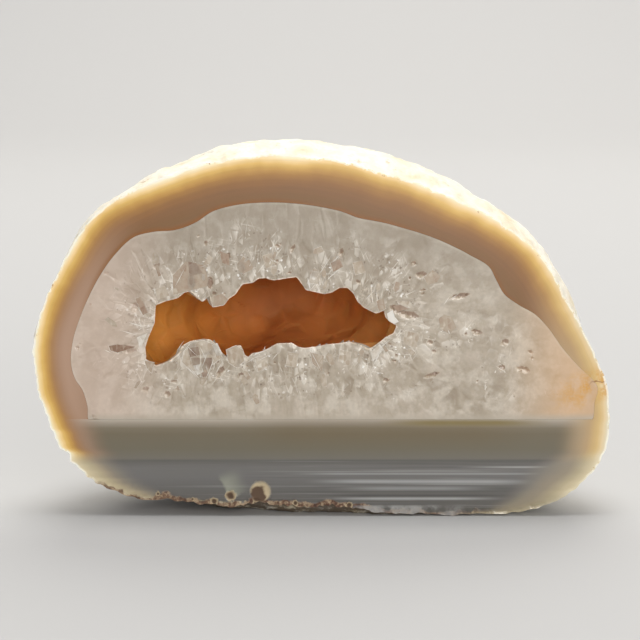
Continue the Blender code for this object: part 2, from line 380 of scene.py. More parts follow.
stain = {
    # each pattern's size in mm, detail and roughness, here and below
    "patterns": {"creep": (2.2, 4.0, 0.5), "rust": (0.5, 3.0, 0.5)},
    "slope": 0.29,        # how steeply the crack rises to the right
    "height": 9.7,        # where its line would meet X = 0
    "waver": 0.7,
    "wide": ("#d0961f", 0.85),   # colour and amount
    "wideReach": 4.4,
    "wideFrom": (38.0, 47.0),
    "thin": ("#8a4f14", 0.8),
    "thinReach": 0.24,
    "thinFrom": (46.0, 48.0),
}


def withStain(look, colour):
    # rusty water that crept in through the crack at the stone's right end
    creep, waver = look.pattern["creep"], stain["waver"]
    level = look.add("Math", {0: look.x, 1: -stain["slope"], 2: look.z}, operation="MULTIPLY_ADD")
    away = look.add("Math", {0: level, 1: stain["height"]}, operation="SUBTRACT")
    bent = look.add("Math", {0: away, 1: look.product((creep, 0.3, 0.7, -waver, waver))}, operation="ADD")
    gap = look.add("Math", {0: bent}, operation="ABSOLUTE")
    wide = (gap, stain["wideReach"], 0.3), (look.x, *stain["wideFrom"]), (creep, 0.3, 0.6)
    specks = (look.pattern["rust"], 0.35, 0.55, 0.4, 1.0)
    colour = look.paint(colour, *stain["wide"], *wide, specks)
    thin = (gap, stain["thinReach"], 0.05), (look.x, *stain["thinFrom"])
    return look.paint(colour, *stain["thin"], *thin)


agateLook = {
    "patterns": {"drift": (9.0, 3.0, 0.5), "crumb": (1.1, 4.0, 0.65), "ragged": (2.6, 3.0, 0.5)},
    # bands from the rim inwards: share of their depth, colour. The near-white and yellow outer bands are
    # partly the stone's own, partly a painted glow of backlight through the thin rim
    "bandDepth": 9.0,
    "bands": (
        (0.0, "#fffbe8"), (0.04, "#fbecc6"), (0.1, "#f4d79c"), (0.17, "#e1ba66"), (0.25, "#c99d4a"),
        (0.37, "#a87833"), (0.5, "#8f622d"), (0.65, "#83592d"), (0.85, "#7c562a"), (1.0, "#7c582f")),
    "lowBands": (            # under the level where the still water began, paler and greyer
        (0.0, "#eae0c4"), (0.12, "#d2c6a4"), (0.3, "#b6a98b"), (0.55, "#968c79"), (1.0, "#7f7a72")),
    "lowStart": (12.4, 9.2),
    "fineBand": 1 / 2.1,     # mm
    "fineContrast": 0.04,
    "lowEdge": ("#8d8470", 0.6),    # towards the foot of both ends: colour and amount, as below
    # the deeper bands at the left and right end: colour, where it begins and is full along X, amount
    "ends": (("#b09079", -30.0, -46.0, 1.0), ("#bb9f7e", 34.0, 46.0, 0.7)),
    "tip": (("#c9b792", 35.0, 47.0, 0.5),),   # over all bands at the right tip, the same way
    "seam": ("#865110", 1.0),       # iron-stained, next to the quartz
    # how strongly the seam shows along the wall: share of the way from left to right, amount
    "seamEnds": (-50.0, 50.0),
    "seamRange": (
        (0.1, 0.35), (0.17, 0.9), (0.3, 1.0), (0.46, 0.7), (0.5, 0.25), (0.55, 0.8), (0.64, 0.75),
        (0.68, 0.15), (0.78, 0.15), (0.82, 0.9), (0.88, 0.6), (0.92, 0.0)),
    # water-line layers from the foot up: share of the height under the quartz, colour
    "layers": (
        (0.0, "#55524b"), (0.1, "#5a5854"), (0.2, "#5e5c59"), (0.3, "#61605e"), (0.4, "#6a6968"),
        (0.5, "#6b6a68"), (0.575, "#5d5b57"), (0.6, "#6d695f"), (0.7, "#6a6453"), (0.85, "#6c634f"),
        (0.91, "#776d5a"), (0.965, "#9a9183"), (1.0, "#b5ac9e")),
    "brightStreak": ("#a9aaaa", 0.4),
    "darkStreak": ("#4a4948", 0.4),
    "streakScale": (0.012, 0.012, 1.5),   # long level streaks 0.7 mm high
    # height, half width, colour, where it fades in and out along X, amount
    "lines": (
        (9.9, 0.25, "#565552", -36.0, 50.0, 0.6), (8.75, 0.3, "#b4b5b4", 22.0, 54.0, 0.6),
        (7.56, 0.32, "#a6a8a9", -8.0, 44.0, 0.55), (6.2, 0.55, "#a9abac", -4.0, 40.0, 0.75),
        (4.95, 0.6, "#9fa1a2", 0.0, 32.0, 0.6), (3.7, 0.3, "#434343", -4.0, 36.0, 0.7),
        (3.15, 0.4, "#adafb0", -2.0, 34.0, 0.75), (2.25, 0.3, "#464646", 0.0, 26.0, 0.55),
        (15.0, 4.0, "#6a5833", -16.0, 38.0, 0.35), (16.6, 1.0, "#7d6d3a", 8.0, 42.0, 0.9)),
    "lineFade": 12.0,
    "wornRim": (
        (0.3, "#38211a"), (0.43, "#583624"), (0.5, "#7c604a"), (0.57, "#ab967c"), (0.66, "#80664f"),
        (0.75, "#482b1e")),
    "wornAmount": 0.9,
    "frost": ("#a3a3a2", 0.85),
    "frostZone": ((3.0, 9.0), (27.0, 21.0), (2.2, 1.6)),   # soft edges left, right and above
    "wedge": ("#a3a796", 0.55),
    "rindLine": ("#fffdf3", 0.75),
    "rust": ("#b27a45", 0.7),
    # lining of the opened bubbles, painted light and shade: brown where shaded, cream where lit
    "bubble": ((0.0, "#3a2b1f"), (0.35, "#5a4533"), (0.5, "#9c8a70"), (0.75, "#c2b394"), (1.0, "#a89a80")),
}


def bandedWall(look, rim):
    # the curved bands that follow the rim
    waver = look.product((look.pattern["drift"], 0.3, 0.7, -0.5, 0.5))
    depth = look.product(look.add("Math", {0: rim, 1: waver}, operation="ADD"), 1 / agateLook["bandDepth"])
    banded = look.add("ValToRGB", {"Fac": depth}, stops=agateLook["bands"])
    along = {"X": look.product(rim, 1 / agateLook["fineBand"]), "Y": look.product(look.x, 0.03)}
    fine = look.add("TexNoise", {"Vector": look.add("CombineXYZ", along), "Scale": 1.0, "Detail": 2.0})
    contrast = agateLook["fineContrast"]
    banded = look.shade(banded, fine, 0.3, 0.7, 1.0 - contrast, 1.0 + contrast)
    deep = look.product((rim, 2.0, 6.0))
    for share, ends in ((deep, agateLook["ends"]), (1.0, agateLook["tip"])):
        for colour, begins, full, amount in ends:
            banded = look.paint(banded, colour, amount, (look.x, begins, full), share)
    low = look.add("ValToRGB", {"Fac": depth}, stops=agateLook["lowBands"])
    low = look.paint(low, *agateLook["lowEdge"], (look.z, 5.5, 2.0))
    banded = look.paint(banded, low, (look.z, *agateLook["lowStart"]))
    across = look.product((look.x, *agateLook["seamEnds"], 0.0, 1.0))
    seamHere = look.add("ValToRGB", {"Fac": across}, stops=agateLook["seamRange"])
    seam = (look.mark["wallGap"], 0.95, 0.15), seamHere, (look.z, 34.0, 42.0)
    return withStain(look, look.paint(banded, *agateLook["seam"], *seam))


def waterLayers(look):
    # flat layers that settled in still water
    level = look.product(look.z, 1 / stoneForm["quartzFloor"])
    layers = look.add("ValToRGB", {"Fac": level}, stops=agateLook["layers"])
    spot = look.add("VectorMath", {0: look.place, 1: agateLook["streakScale"]}, operation="MULTIPLY")
    streaks = look.add("TexNoise", {"Vector": spot, "Scale": 1.0, "Detail": 4.0, "Roughness": 0.65})
    ends = (look.x, -34.0, -4.0), (look.x, 42.0, 26.0)
    here = look.product((look.z, 10.4, 9.4), *ends)
    layers = look.paint(layers, *agateLook["brightStreak"], (streaks, 0.52, 0.66), here)
    layers = look.paint(layers, *agateLook["darkStreak"], (streaks, 0.46, 0.36), here)
    fade = agateLook["lineFade"]
    for height, halfWidth, colour, west, east, amount in agateLook["lines"]:
        above = look.add("Math", {0: look.z, 1: height}, operation="SUBTRACT")
        away = look.add("Math", {0: above}, operation="ABSOLUTE")
        ends = (look.x, west, west + fade), (look.x, east, east - fade)
        layers = look.paint(layers, colour, (away, halfWidth, 0.0), *ends, amount)
    return layers


def polishedAgate():
    # banded chalcedony, sawn and polished: a soft waxy depth under a smooth clear gloss
    marks = ("rimGap", "edgeGap", "wallGap", "wedge", "bubble", "bubbleTone")
    look = Look("polishedAgate", {**agateLook["patterns"], **stain["patterns"]}, marks)
    rim, edge, crumb, ragged = (look.mark["rimGap"], look.mark["edgeGap"],
                                look.pattern["crumb"], look.pattern["ragged"])
    banded, layers = bandedWall(look, rim), waterLayers(look)
    # towards the lower right end the layers turn warm early
    warm = look.product((look.x, 24.0, 46.0), (look.z, 11.5, 8.0))
    layerReach = look.add("Math", {0: warm, 1: -7.0, 2: rim}, operation="MULTIPLY_ADD")
    top = stoneForm["quartzFloor"]
    face = look.paint(banded, layers, (layerReach, 2.5, 9.5), (look.z, top + 0.1, top))
    # thin broken line of white rind along the sawn edge, with rusty specks
    rindLine = (edge, 0.42, 0.15), (crumb, 0.4, 0.5), (look.z, 5.0, 9.0)
    face = look.paint(face, *agateLook["rindLine"], *rindLine)
    face = look.paint(face, *agateLook["rust"], (edge, 0.6, 0.3), (crumb, 0.34, 0.3))
    # weathered, pitted lower rim with a frosty patch
    wornEdge = look.add("Math", {0: ragged, 1: -3.4, 2: edge}, operation="MULTIPLY_ADD")
    lowRim = look.product((wornEdge, -0.75, -1.2), (look.z, 6.8, 5.2), (look.x, 32.0, 20.0))
    wornRim = look.add("ValToRGB", {"Fac": crumb}, stops=agateLook["wornRim"])
    face = look.paint(face, wornRim, agateLook["wornAmount"], lowRim)
    west, east, above = agateLook["frostZone"]
    frost = (look.x, *west), (look.x, *east), (look.z, *above), (ragged, 0.3, 0.6)
    face = look.paint(face, *agateLook["frost"], *frost)
    face = look.paint(face, *agateLook["wedge"], look.mark["wedge"])
    # opened gas bubbles, brown and cream: painted light and shade, a lit crescent over a shaded hollow
    liningAndShade = look.add("ValToRGB", {"Fac": look.mark["bubbleTone"]}, stops=agateLook["bubble"])
    face = look.paint(face, liningAndShade, look.mark["bubble"])
    rough = look.add("Math", {0: look.mark["bubble"], 1: lowRim}, operation="MAXIMUM")
    return look.finish({
        "Base Color": face, "Roughness": look.product((rough, 0.0, 1.0, 0.22, 0.75)), "IOR": 1.54,
        "Subsurface Weight": 0.12, "Subsurface Radius": (1.0, 0.7, 0.4), "Subsurface Scale": 1.0 * mm,
        "Coat Weight": look.product((rough, 0.0, 1.0, 0.35, 0.0)), "Coat Roughness": 0.06})


rindLook = {
    "patterns": {"clouds": (8.0, 5.0, 0.6), "grit": (0.7, 4.0, 0.7), "rust": (3.0, 5.0, 0.7)},
    "clouds": ((0.3, "#e5d6b6"), (0.45, "#f5edda"), (0.6, "#fdf9ee"), (0.75, "#efe3c4")),
    "rust": ("#b58a4a", 0.55),
    "under": ("#57442f", 0.9),      # the dark foot: partly brown staining, partly painted shade under the stone
}


def chalkyRind():
    # weathered outer skin of the nodule: matt, chalky, cream with rusty pits
    look = Look("chalkyRind", rindLook["patterns"])
    clouds, grit, rust = look.pattern.values()
    base = look.add("ValToRGB", {"Fac": clouds}, stops=rindLook["clouds"])
    base = look.shade(base, grit, 0.3, 0.7, 0.86, 1.05)
    base = look.paint(base, *rindLook["rust"], (rust, 0.62, 0.72))
    # darker towards the foot: partly staining, partly painted shade under the stone
    base = look.paint(base, *rindLook["under"], (look.z, 8.0, 3.5), (rust, 0.3, 0.5), (look.x, 32.0, 22.0))
    return look.finish({
        "Base Color": base, "Roughness": 0.82, "IOR": 1.5, "Subsurface Weight": 0.15,
        "Subsurface Radius": (1.0, 0.8, 0.5), "Subsurface Scale": 1.2 * mm}, bump=(grit, 0.5, 0.12))


def tiltedCells(look, spot, size, softness):
    # crystals side by side, each shaded like one tilted facet with soft borders: shade from 0 to 1, chance
    scale = tuple(1.0 / length for length in size)
    scaled = look.add("VectorMath", {0: spot, 1: scale}, operation="MULTIPLY")
    cells, edges = (look.add("TexVoronoi", {"Vector": scaled, "Scale": 1.0}, feature=feature)
                    for feature in ("F1", "DISTANCE_TO_EDGE"))
    away = look.add("VectorMath", {0: scaled, 1: (cells, "Position")}, operation="SUBTRACT")
    tilt = look.add("VectorMath", {0: (cells, "Color"), 1: (0.5, 0.5, 0.5)}, operation="SUBTRACT")
    slope = look.add("VectorMath", {0: away, 1: tilt}, operation="DOT_PRODUCT")
    chance = look.add("SeparateColor", {0: (cells, "Color")})
    middle = look.add("Math", {0: (chance, "Green"), 1: 0.5}, operation="SUBTRACT")
    tone = look.add("Math", {0: (slope, "Value"), 1: 1.3, 2: middle}, operation="MULTIPLY_ADD")
    tone = look.product(tone, ((edges, "Distance"), 0.0, softness))
    return look.add("Math", {0: tone, 1: 0.5}, operation="ADD"), chance


milkyLook = {
    "patterns": {
        "bend": (2.5, 2.0, 0.5), "patches": (4.5, 3.0, 0.6), "veil": (3.4, 4.0, 0.6),
        "fine": (0.7, 5.0, 0.7)},
    # size in mm and softness of the crystals: columns and chips grow from the heart line, grains anywhere
    "columns": ((1.9, 1.9, 5.0), 0.22),
    "chips": ((1.1, 1.1, 2.0), 0.14),
    "grains": ((0.3, 0.5, 0.3), 0.1),
    "fibreScale": (3.2, 3.2, 0.45),   # fibres 0.3 mm wide and 2.2 mm long
    "milk": "#a59987",
    "veil": "#b9ae9f",
    # colours with their amounts
    "clearChips": ("#8f806d", 0.5),   # windows of clear quartz that show the dark inside
    "clearColumns": ("#8f806d", 0.4),
    "cloud": ("#cbc3b6", 0.75),
    "bright": ("#f2eee6", 0.45),
    # painted glints: white specks in place of light caught by tiny crystal faces
    "paintedGlint": ("#ffffff", 0.7),
    "speck": ("#6b5846", 0.65),
    "topShade": ("#8f8475", 0.55),
    "floorVeil": ("#b4aa9b", 0.75),
    "skin": ("#e6ddcd", 0.2),
    # painted highlight along the mouth's edge
    "mouthHighlight": ("#f0e0ca", 0.75),
    # pale well floors: partly the quartz's own milkiness, partly painted light where the clear crystals over
    # them shade them
    "well": ("#e4dccf", 0.7),
    # left and right end: colour, where it begins and is full along X, amount
    "ends": (("#cab4a5", -22.0, -40.0, 0.6), ("#d2ad84", 30.0, 45.0, 0.75)),
    "cavityAmount": 0.85,
    # cavity lining: partly the cavities' brownish colour, partly painted shade on their upper slopes
    "cavity": ((0.0, "#7c614d"), (0.3, "#957d69"), (0.55, "#ab9882"), (0.75, "#c3b5a2"), (1.0, "#e6ddd0")),
    # thin straight crack planes: direction in degrees and rarity, and width, depth and length in mm
    "cracks": ((24.0, 0.955), (-38.0, 0.96), (78.0, 0.965), (-8.0, 0.965)),
    "crackSize": (0.14, 1 / 0.3, 2.2),
}


def milkyQuartz():
    # massive quartz sawn through and polished: soft milky depth with veils and short bright cracks
    marks = ("growth", "wallGap", "mouthGap", "cavity", "cavityTone", "well")
    look = Look("milkyQuartz", {**milkyLook["patterns"], **stain["patterns"]}, marks)
    wall, mouth, growth = look.mark["wallGap"], look.mark["mouthGap"], (look.mark["growth"][0], "Vector")
    bend, patches, veil, fine = (look.pattern[label] for label in milkyLook["patterns"])
    bent = look.add("VectorMath", {0: (bend, "Color"), 1: (0.5, 0.5, 0.5)}, operation="SUBTRACT")
    grown = look.add("VectorMath", {0: bent, 1: (0.7, 0.7, 0.4), 2: growth}, operation="MULTIPLY_ADD")
    columns = tiltedCells(look, grown, *milkyLook["columns"])[0]
    chips = tiltedCells(look, grown, *milkyLook["chips"])[0]
    grainChance = tiltedCells(look, look.place, *milkyLook["grains"])[1]
    # where the crystals are clear and lively rather than veiled
    nearMouth = look.product((mouth, 12.0, 1.0))
    lively = look.add("Math", {0: nearMouth, 1: 0.16, 2: patches}, operation="MULTIPLY_ADD")
    lively = look.product((lively, 0.47, 0.72), (wall, 0.5, 6.0), (look.z, 18.0, 21.0))

    base = look.paint(milkyLook["milk"], milkyLook["veil"], (columns, 0.15, 0.95))
    base = look.paint(base, *milkyLook["cloud"], (veil, 0.42, 0.64))
    fibreSpot = look.add("VectorMath", {0: grown, 1: milkyLook["fibreScale"]}, operation="MULTIPLY")
    fibres = look.add("TexNoise", {"Vector": fibreSpot, "Scale": 1.0, "Detail": 4.0, "Roughness": 0.65})
    base = look.shade(base, fibres, 0.3, 0.7, 0.95, 1.05)
    base = look.shade(base, fine, 0.3, 0.7, 0.92, 1.08)
    base = look.paint(base, *milkyLook["topShade"], (look.z, 34.0, 50.0))
    base = look.paint(base, *milkyLook["clearChips"], (chips, 0.42, 0.15), lively)
    base = look.paint(base, *milkyLook["bright"], (chips, 0.6, 0.9), lively)
    base = look.paint(base, *milkyLook["clearColumns"], (columns, 0.35, 0.05), (wall, 0.5, 5.0))
    crackHere = look.product(lively, (veil, 0.4, 0.55))
    scale = tuple(1.0 / length for length in milkyLook["crackSize"])
    for degrees, rarity in milkyLook["cracks"]:
        turn = {"Vector": look.place, "Axis": (0.0, 1.0, 0.0), "Angle": math.radians(degrees)}
        spot = look.add("VectorMath", {0: look.add("VectorRotate", turn), 1: scale}, operation="MULTIPLY")
        cells = look.add("TexVoronoi", {"Vector": spot, "Scale": 1.0}, feature="F1")
        chance = (look.add("SeparateColor", {0: (cells, "Color")}), "Red")
        base = look.paint(base, *milkyLook["bright"], (chance, rarity, rarity + 0.02), crackHere)
    # painted glints where the quartz is lively and cracked
    paintedGlint = ((grainChance, "Red"), 0.968, 0.982), lively, crackHere
    base = look.paint(base, *milkyLook["paintedGlint"], *paintedGlint)
    base = look.paint(base, *milkyLook["speck"], ((grainChance, "Blue"), 0.035, 0.015), lively)
    fineShade = look.add("Math", {0: fine, 1: 0.5}, operation="SUBTRACT")
    # cavity colour with painted shade on the upper slopes
    holeShade = look.add("Math", {0: fineShade, 1: 0.9, 2: look.mark["cavityTone"]}, operation="MULTIPLY_ADD")
    liningAndShade = look.add("ValToRGB", {"Fac": holeShade}, stops=milkyLook["cavity"])
    base = look.paint(base, liningAndShade, look.mark["cavity"], milkyLook["cavityAmount"])
    # painted light on the well floors under the clear crystals
    base = look.paint(base, *milkyLook["well"], look.mark["well"])
    # a broken painted highlight right along the mouth's edge
    base = look.paint(base, *milkyLook["mouthHighlight"], (mouth, 0.26, 0.1), (fine, 0.4, 0.56))
    # colour of the ends, a pale skin next to the agate and a veil over the flat layers
    for colour, begins, full, amount in milkyLook["ends"]:
        base = look.paint(base, colour, amount, (look.x, begins, full))
    skin = (wall, 0.5, 0.1), (patches, 0.35, 0.6), (look.z, 18.5, 21.0)
    base = look.paint(base, *milkyLook["skin"], *skin)
    base = look.paint(base, *milkyLook["floorVeil"], (look.z, 18.6, 17.3))
    relief = look.add("Math", {0: columns, 1: look.product(chips, lively, 0.5)}, operation="ADD")
    return look.finish({
        "Base Color": withStain(look, base), "Roughness": 0.3, "IOR": 1.544, "Subsurface Weight": 0.25,
        "Subsurface Radius": (1.0, 0.9, 0.75), "Subsurface Scale": 0.9 * mm,
        "Coat Weight": 0.4, "Coat Roughness": 0.05}, bump=(relief, 0.35, 0.2))


glassyLook = {
    "patterns": {"veil": (1.2, 4.0, 0.65)},
    "facets": ((0.7, 1 / 0.3, 1.1), 0.15),   # size in mm, softness
    # share of each in the cloudiness
    "veilShare": 0.4,
    "toneShare": 0.6,
    "facetShare": 0.22,
    "clouds": ((0.15, "#8f6f59"), (0.35, "#ad9682"), (0.6, "#bdae9b"), (0.78, "#d3c8b8"), (1.0, "#f7f2e9")),
}


def glassyQuartz():
    # crystals round the mouth: from cloudy to nearly clear, one by one, with smooth faces
    look = Look("glassyQuartz", glassyLook["patterns"], ("tone",))
    facets = tiltedCells(look, look.place, *glassyLook["facets"])[0]
    cloud = look.product(look.mark["tone"], glassyLook["toneShare"])
    for value, share in ((look.pattern["veil"], glassyLook["veilShare"]), (facets, glassyLook["facetShare"])):
        cloud = look.add("Math", {0: value, 1: share, 2: cloud}, operation="MULTIPLY_ADD")
    return look.finish({
        "Base Color": look.add("ValToRGB", {"Fac": cloud}, stops=glassyLook["clouds"]), "Roughness": 0.2,
        "IOR": 1.544, "Transmission Weight": 0.1, "Subsurface Weight": 0.3,
        "Subsurface Radius": (1.0, 0.9, 0.75), "Subsurface Scale": 0.8 * mm,
        "Coat Weight": 0.5, "Coat Roughness": 0.03})


stainedLook = {
    "patterns": {"clouds": (6.0, 5.0, 0.6)},
    # colours across the hollow: share of the way from left to right, colour. Their brighter ends are a
    # painted glow of light through the thinner stone at the sides, over the iron stain's own orange-brown
    "ends": (-32.0, 14.0),
    "across": ((0.0, "#dd9a46"), (0.25, "#d58b42"), (0.5, "#bf7840"), (0.7, "#d58b4c"), (1.0, "#f2ad60")),
    "clouds": ("#b36c3a", 0.4),   # colour and amount
    # painted shadow just inside the hollow's mouth, darkest near the face
    "mouth": ("#8f5a31", 0.6),
    "mouthShadowReach": (4.5, 0.5),
    "facets": ((3.6, 3.6, 3.6), 0.3),
}


def stainedQuartz():
    # quartz points dyed by iron: glassy facets over a warm orange-brown depth
    look = Look("ironStainedQuartz", stainedLook["patterns"])
    # painted glow: brighter towards both ends of the hollow, over the iron stain's colour
    across = look.product((look.x, *stainedLook["ends"], 0.0, 1.0))
    base = look.add("ValToRGB", {"Fac": across}, stops=stainedLook["across"])
    base = look.paint(base, *stainedLook["clouds"], (look.pattern["clouds"], 0.5, 0.78))
    reach = (faceY + y for y in stainedLook["mouthShadowReach"])
    # painted shadow inside the mouth of the hollow
    base = look.paint(base, *stainedLook["mouth"], (look.y, *reach))
    facets = tiltedCells(look, look.place, *stainedLook["facets"])[0]
    base = look.shade(base, facets, 0.2, 0.8, 0.9, 1.1)
    return look.finish({
        "Base Color": base, "Roughness": 0.6, "IOR": 1.544, "Specular IOR Level": 0.2,
        "Subsurface Weight": 0.6, "Subsurface Radius": (1.0, 0.5, 0.25), "Subsurface Scale": 3.0 * mm},
        bump=(facets, 0.5, 0.8))


clearLook = {"patterns": {"veil": (0.8, 3.0, 0.5)}, "glass": "#f0e5d4"}


def clearQuartz():
    # rock crystal: see-through, with sharp glassy faces
    look = Look("clearQuartz", clearLook["patterns"])
    veil = look.pattern["veil"]
    return look.finish({
        "Base Color": clearLook["glass"], "Roughness": look.product((veil, 0.4, 0.7, 0.02, 0.2)),
        "IOR": 1.544, "Transmission Weight": look.product((veil, 0.4, 0.66, 0.7, 0.3))})


# Agate body: rind, banded wall and water-line layers, one grown stone

agate = {
    "turns": 720,
    "rings": 88,
    "wallRings": 10,
    "faceSpacing": 0.5,
    "footGap": 0.02,       # the edge keeps this far above the floor
    "nick": 0.36,          # roughness of the sawn edge
    "lowNick": 0.7,        # the same along the weathered lower edge
    "lowTowards": 248.0,
    "nickWaves": ((9.0, 2.0), (38.0, 5.0)),   # circles through the noise, wide and fine: radius, height
    "nickRings": 4,        # rings of the rind that the nicks reach
    # larger chips in the edge: angle, width in degrees, depth. A depth below zero leaves more stone
    "chips": (
        (32.0, 1.1, 0.5), (204.6, 1.0, 0.8), (219.0, 9.0, -1.1), (238.0, 10.0, -0.9), (255.0, 8.0, -0.4)),
    "crumble": 0.3,        # how deep the worn lower rim is eaten in
    "crumbSize": 0.8,
    "crumbSpots": 2600,
    "wornHeight": (6.8, 4.8),
    "relief": 0.28,        # fine lumps of the rind
    "reliefSize": 2.4,
    "pitSize": 2.6,
    "pitDepth": 0.45,
    "bubbles": (           # (x, z, radius) of gas bubbles that the saw opened along the lower edge
        (-11.3, 2.6, 0.75), (-10.7, 4.4, 1.6), (-15.9, 3.6, 0.85), (-18.8, 2.6, 0.6), (-22.6, 3.0, 0.3),
        (-28.6, 4.0, 0.3), (-4.6, 2.3, 0.45), (4.8, 1.95, 0.6),
    ),
    "bubbleSpots": 180,
    "wedgeEdge": ((-18.0, 7.4), (-16.5, 3.9)),   # sharp left edge of a pale splinter inside
    "wedgeReach": 4.4,
}


def edgeNicks(degrees):
    # how far the sawn edge is worn in: a little everywhere, more along the lower edge
    low = facing(degrees, agate["lowTowards"], 1.0)
    angles = np.radians(degrees)
    wide, fine = (
        np.array([noise.noise(Vector((math.cos(a) * reach, math.sin(a) * reach, level))) for a in angles])
        for reach, level in agate["nickWaves"])
    amount = agate["nick"] + (agate["lowNick"] - agate["nick"]) * low
    chips = sum(depth * np.exp(-((degrees - towards) / width) ** 2)
                for towards, width, depth in agate["chips"])
    return amount * np.clip(0.5 + wide * 0.9 + fine * 0.8, 0.0, 1.6) + chips


def agateSpots(outer, inner, dice):
    # points on the sawn face: evenly spaced, and closer at the bubbles and the worn lower rim
    spots = [scatterPoints(outer, inner, agate["faceSpacing"], dice)]
    for x, z, radius in agate["bubbles"]:
        cluster = dice.uniform(-1.2, 1.2, (int(agate["bubbleSpots"] * radius), 2)) * radius + (x, z)
        spots.append(cluster[insideOutline(cluster, outer) & (gapTo(cluster, outer) > 0.08)])
    along = outer[dice.integers(0, len(outer), agate["crumbSpots"])]
    along = along[along[:, 1] < 7.0]
    moves = dice.uniform(-0.4, 0.4, len(along)), dice.uniform(0.1, 1.7, len(along))
    along = along + np.stack(moves, axis=1)
    spots.append(along[insideOutline(along, outer) & (gapTo(along, outer) > 0.08)])
    return np.concatenate(spots)


def agateFace(flat, edgeGap):
    # the sawn face, with its crumbled lower rim and hollow bubbles
    points = standing(flat, faceY)
    worn = smoothStep(1.1, 0.1, edgeGap) * smoothStep(*agate["wornHeight"], flat[:, 1])
    crumbs = noiseAt(points, agate["crumbSize"]) + 0.35
    points[:, 1] += agate["crumble"] * worn * np.clip(crumbs, 0.0, 1.2)
    for x, z, radius in agate["bubbles"]:
        away = np.hypot(flat[:, 0] - x, flat[:, 1] - z)
        sink = min(0.4, 0.3 / radius) * np.sqrt(np.maximum(0.0, radius**2 - away**2))
        points[:, 1] = np.maximum(points[:, 1], faceY + sink)
    return points


def rimGapOf(flat, bandGap, outer, turns):
    # below the quartz the bands follow the sides of the stone, not its underside
    heights = np.clip(flat[:, 1], outer[:, 1].min() + 0.5, None)
    west, east = outer[(turns > 140) & (turns < 262)], outer[(turns > 290) | (turns < 30)]
    gaps = []
    for side, way in ((west, 1.0), (east, -1.0)):
        side = side[np.argsort(side[:, 1])]
        gaps.append((flat[:, 0] - np.interp(heights, side[:, 1], side[:, 0])) * way)
    upper = smoothStep(13.0, 22.0, flat[:, 1])
    return bandGap * upper + np.minimum(*gaps) * (1.0 - upper)


def bubbleMarks(flat, points):
    # where the bubbles are, and their painted light and shade: a lit cream crescent over a shaded brown
    # hollow in the large one, else rings
    share, tone = np.zeros(len(flat)), np.zeros(len(flat))
    uneven = 1.0 + 0.35 * noiseAt(points, 0.7)
    for x, z, radius in agate["bubbles"]:
        large = radius > 1.2
        away = np.hypot(flat[:, 0] - x, flat[:, 1] - z) * (1.0 if large else uneven) / radius
        offCentre = np.hypot(flat[:, 0] - x + 0.3 * radius, flat[:, 1] - z + 0.36 * radius) / radius
        crescent = 0.34 + 0.42 * smoothStep(0.78, 1.02, offCentre * uneven)
        share = np.maximum(share, smoothStep(1.25, 0.95, away))
        tone = np.where(away < 1.3, crescent if large else 0.2 + 0.5 * away**2, tone)
    return share, tone


def wedgeMark(flat):
    # a pale splinter inside, sharp on its left and fading to its right
    start, end = (np.array(p) for p in agate["wedgeEdge"])
    along, local = end - start, flat - start
    down = (local @ along) / (along @ along)
    right = (local[:, 1] * along[0] - local[:, 0] * along[1]) / np.hypot(*along)
    fades = smoothStep(agate["wedgeReach"], 0.3, right) * smoothStep(-0.1, 0.5, down)
    return fades * (right > 0) * (down < 1.25)


def makeAgate(dice, materials):
    shape = Shape()
    count, rings, nickRings = agate["turns"], agate["rings"], agate["nickRings"]
    turns = np.arange(count) * 360.0 / count
    ring, _, _ = rindRing(turns, 0.0)
    hub = np.array((0.0, faceY, stoneForm["hubHeight"]))
    reach = ring - hub
    edge = hub + reach * (1.0 - edgeNicks(turns) / np.linalg.norm(reach, axis=1))[:, None]
    edge[:, 2] = np.maximum(edge[:, 2], agate["footGap"])
    outer, inner = edge[:, [0, 2]], wallRing(turns, 0.0, 0.0)[:, [0, 2]]
    flat, faces = fillBetween(outer, inner, agateSpots(outer, inner, dice))
    edgeGap = gapTo(flat, outer)
    face = agateFace(flat, edgeGap)
    start = shape.addPoints(face)
    shape.addFaces(faces, 0)
    last = start
    for step in range(1, rings):
        points, outwards, back = rindRing(turns, 1.0 - (1.0 - step / rings) ** 1.15)
        relief = fractalAt(points, agate["reliefSize"], 4)
        pits = np.array([noise.voronoi(Vector(p) / agate["pitSize"])[0][0] for p in points])
        inwards = agate["relief"] * (0.9 - relief) + agate["pitDepth"] * smoothStep(0.35, 0.05, pits)
        inwards = np.maximum(0.25, inwards) * min(1.0, back / 0.8)
        if step < nickRings:
            inwards = inwards + edgeNicks(turns) * (1.0 - step / nickRings)
        points = points - inwards[:, None] * outwards
        points[:, 2] = np.maximum(points[:, 2], 0.0)
        here = shape.addPoints(points)
        shape.addFaces(ringFaces(last, here, count), 1)
        last = here
    backPoint, _, _ = rindRing(np.array([0.0]), 1.0)
    tip = shape.addPoints(backPoint - (0.0, 0.2, 0.0))
    shape.addFaces(tipFaces(last, tip, count), 1)
    last = start + count
    for step in range(1, agate["wallRings"]):
        here = shape.addPoints(wallRing(turns, step / agate["wallRings"], 0.0))
        shape.addFaces(ringFaces(here, last, count), 0)
        last = here
    tip = shape.addPoints(wallRing(np.array([0.0]), 1.0, 0.0))
    shape.addFaces(tipFaces(last, tip, count)[:, ::-1], 0)
    bubble, bubbleTone = bubbleMarks(flat, face)
    rimGap = rimGapOf(flat, gapTo(flat, ring[:, [0, 2]]), outer, turns)
    piece = shape.build("agateBody", materials, 38.0, {
        "bubble": shape.wholeMark(bubble),
        "bubbleTone": shape.wholeMark(bubbleTone),
        "wedge": shape.wholeMark(wedgeMark(flat)),
        "rimGap": shape.wholeMark(rimGap),
        "edgeGap": shape.wholeMark(edgeGap, 9.0),
        "wallGap": shape.wholeMark(gapTo(flat, inner), 9.0),
    })
    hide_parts("agate_shell")


# Quartz crust with its hollow

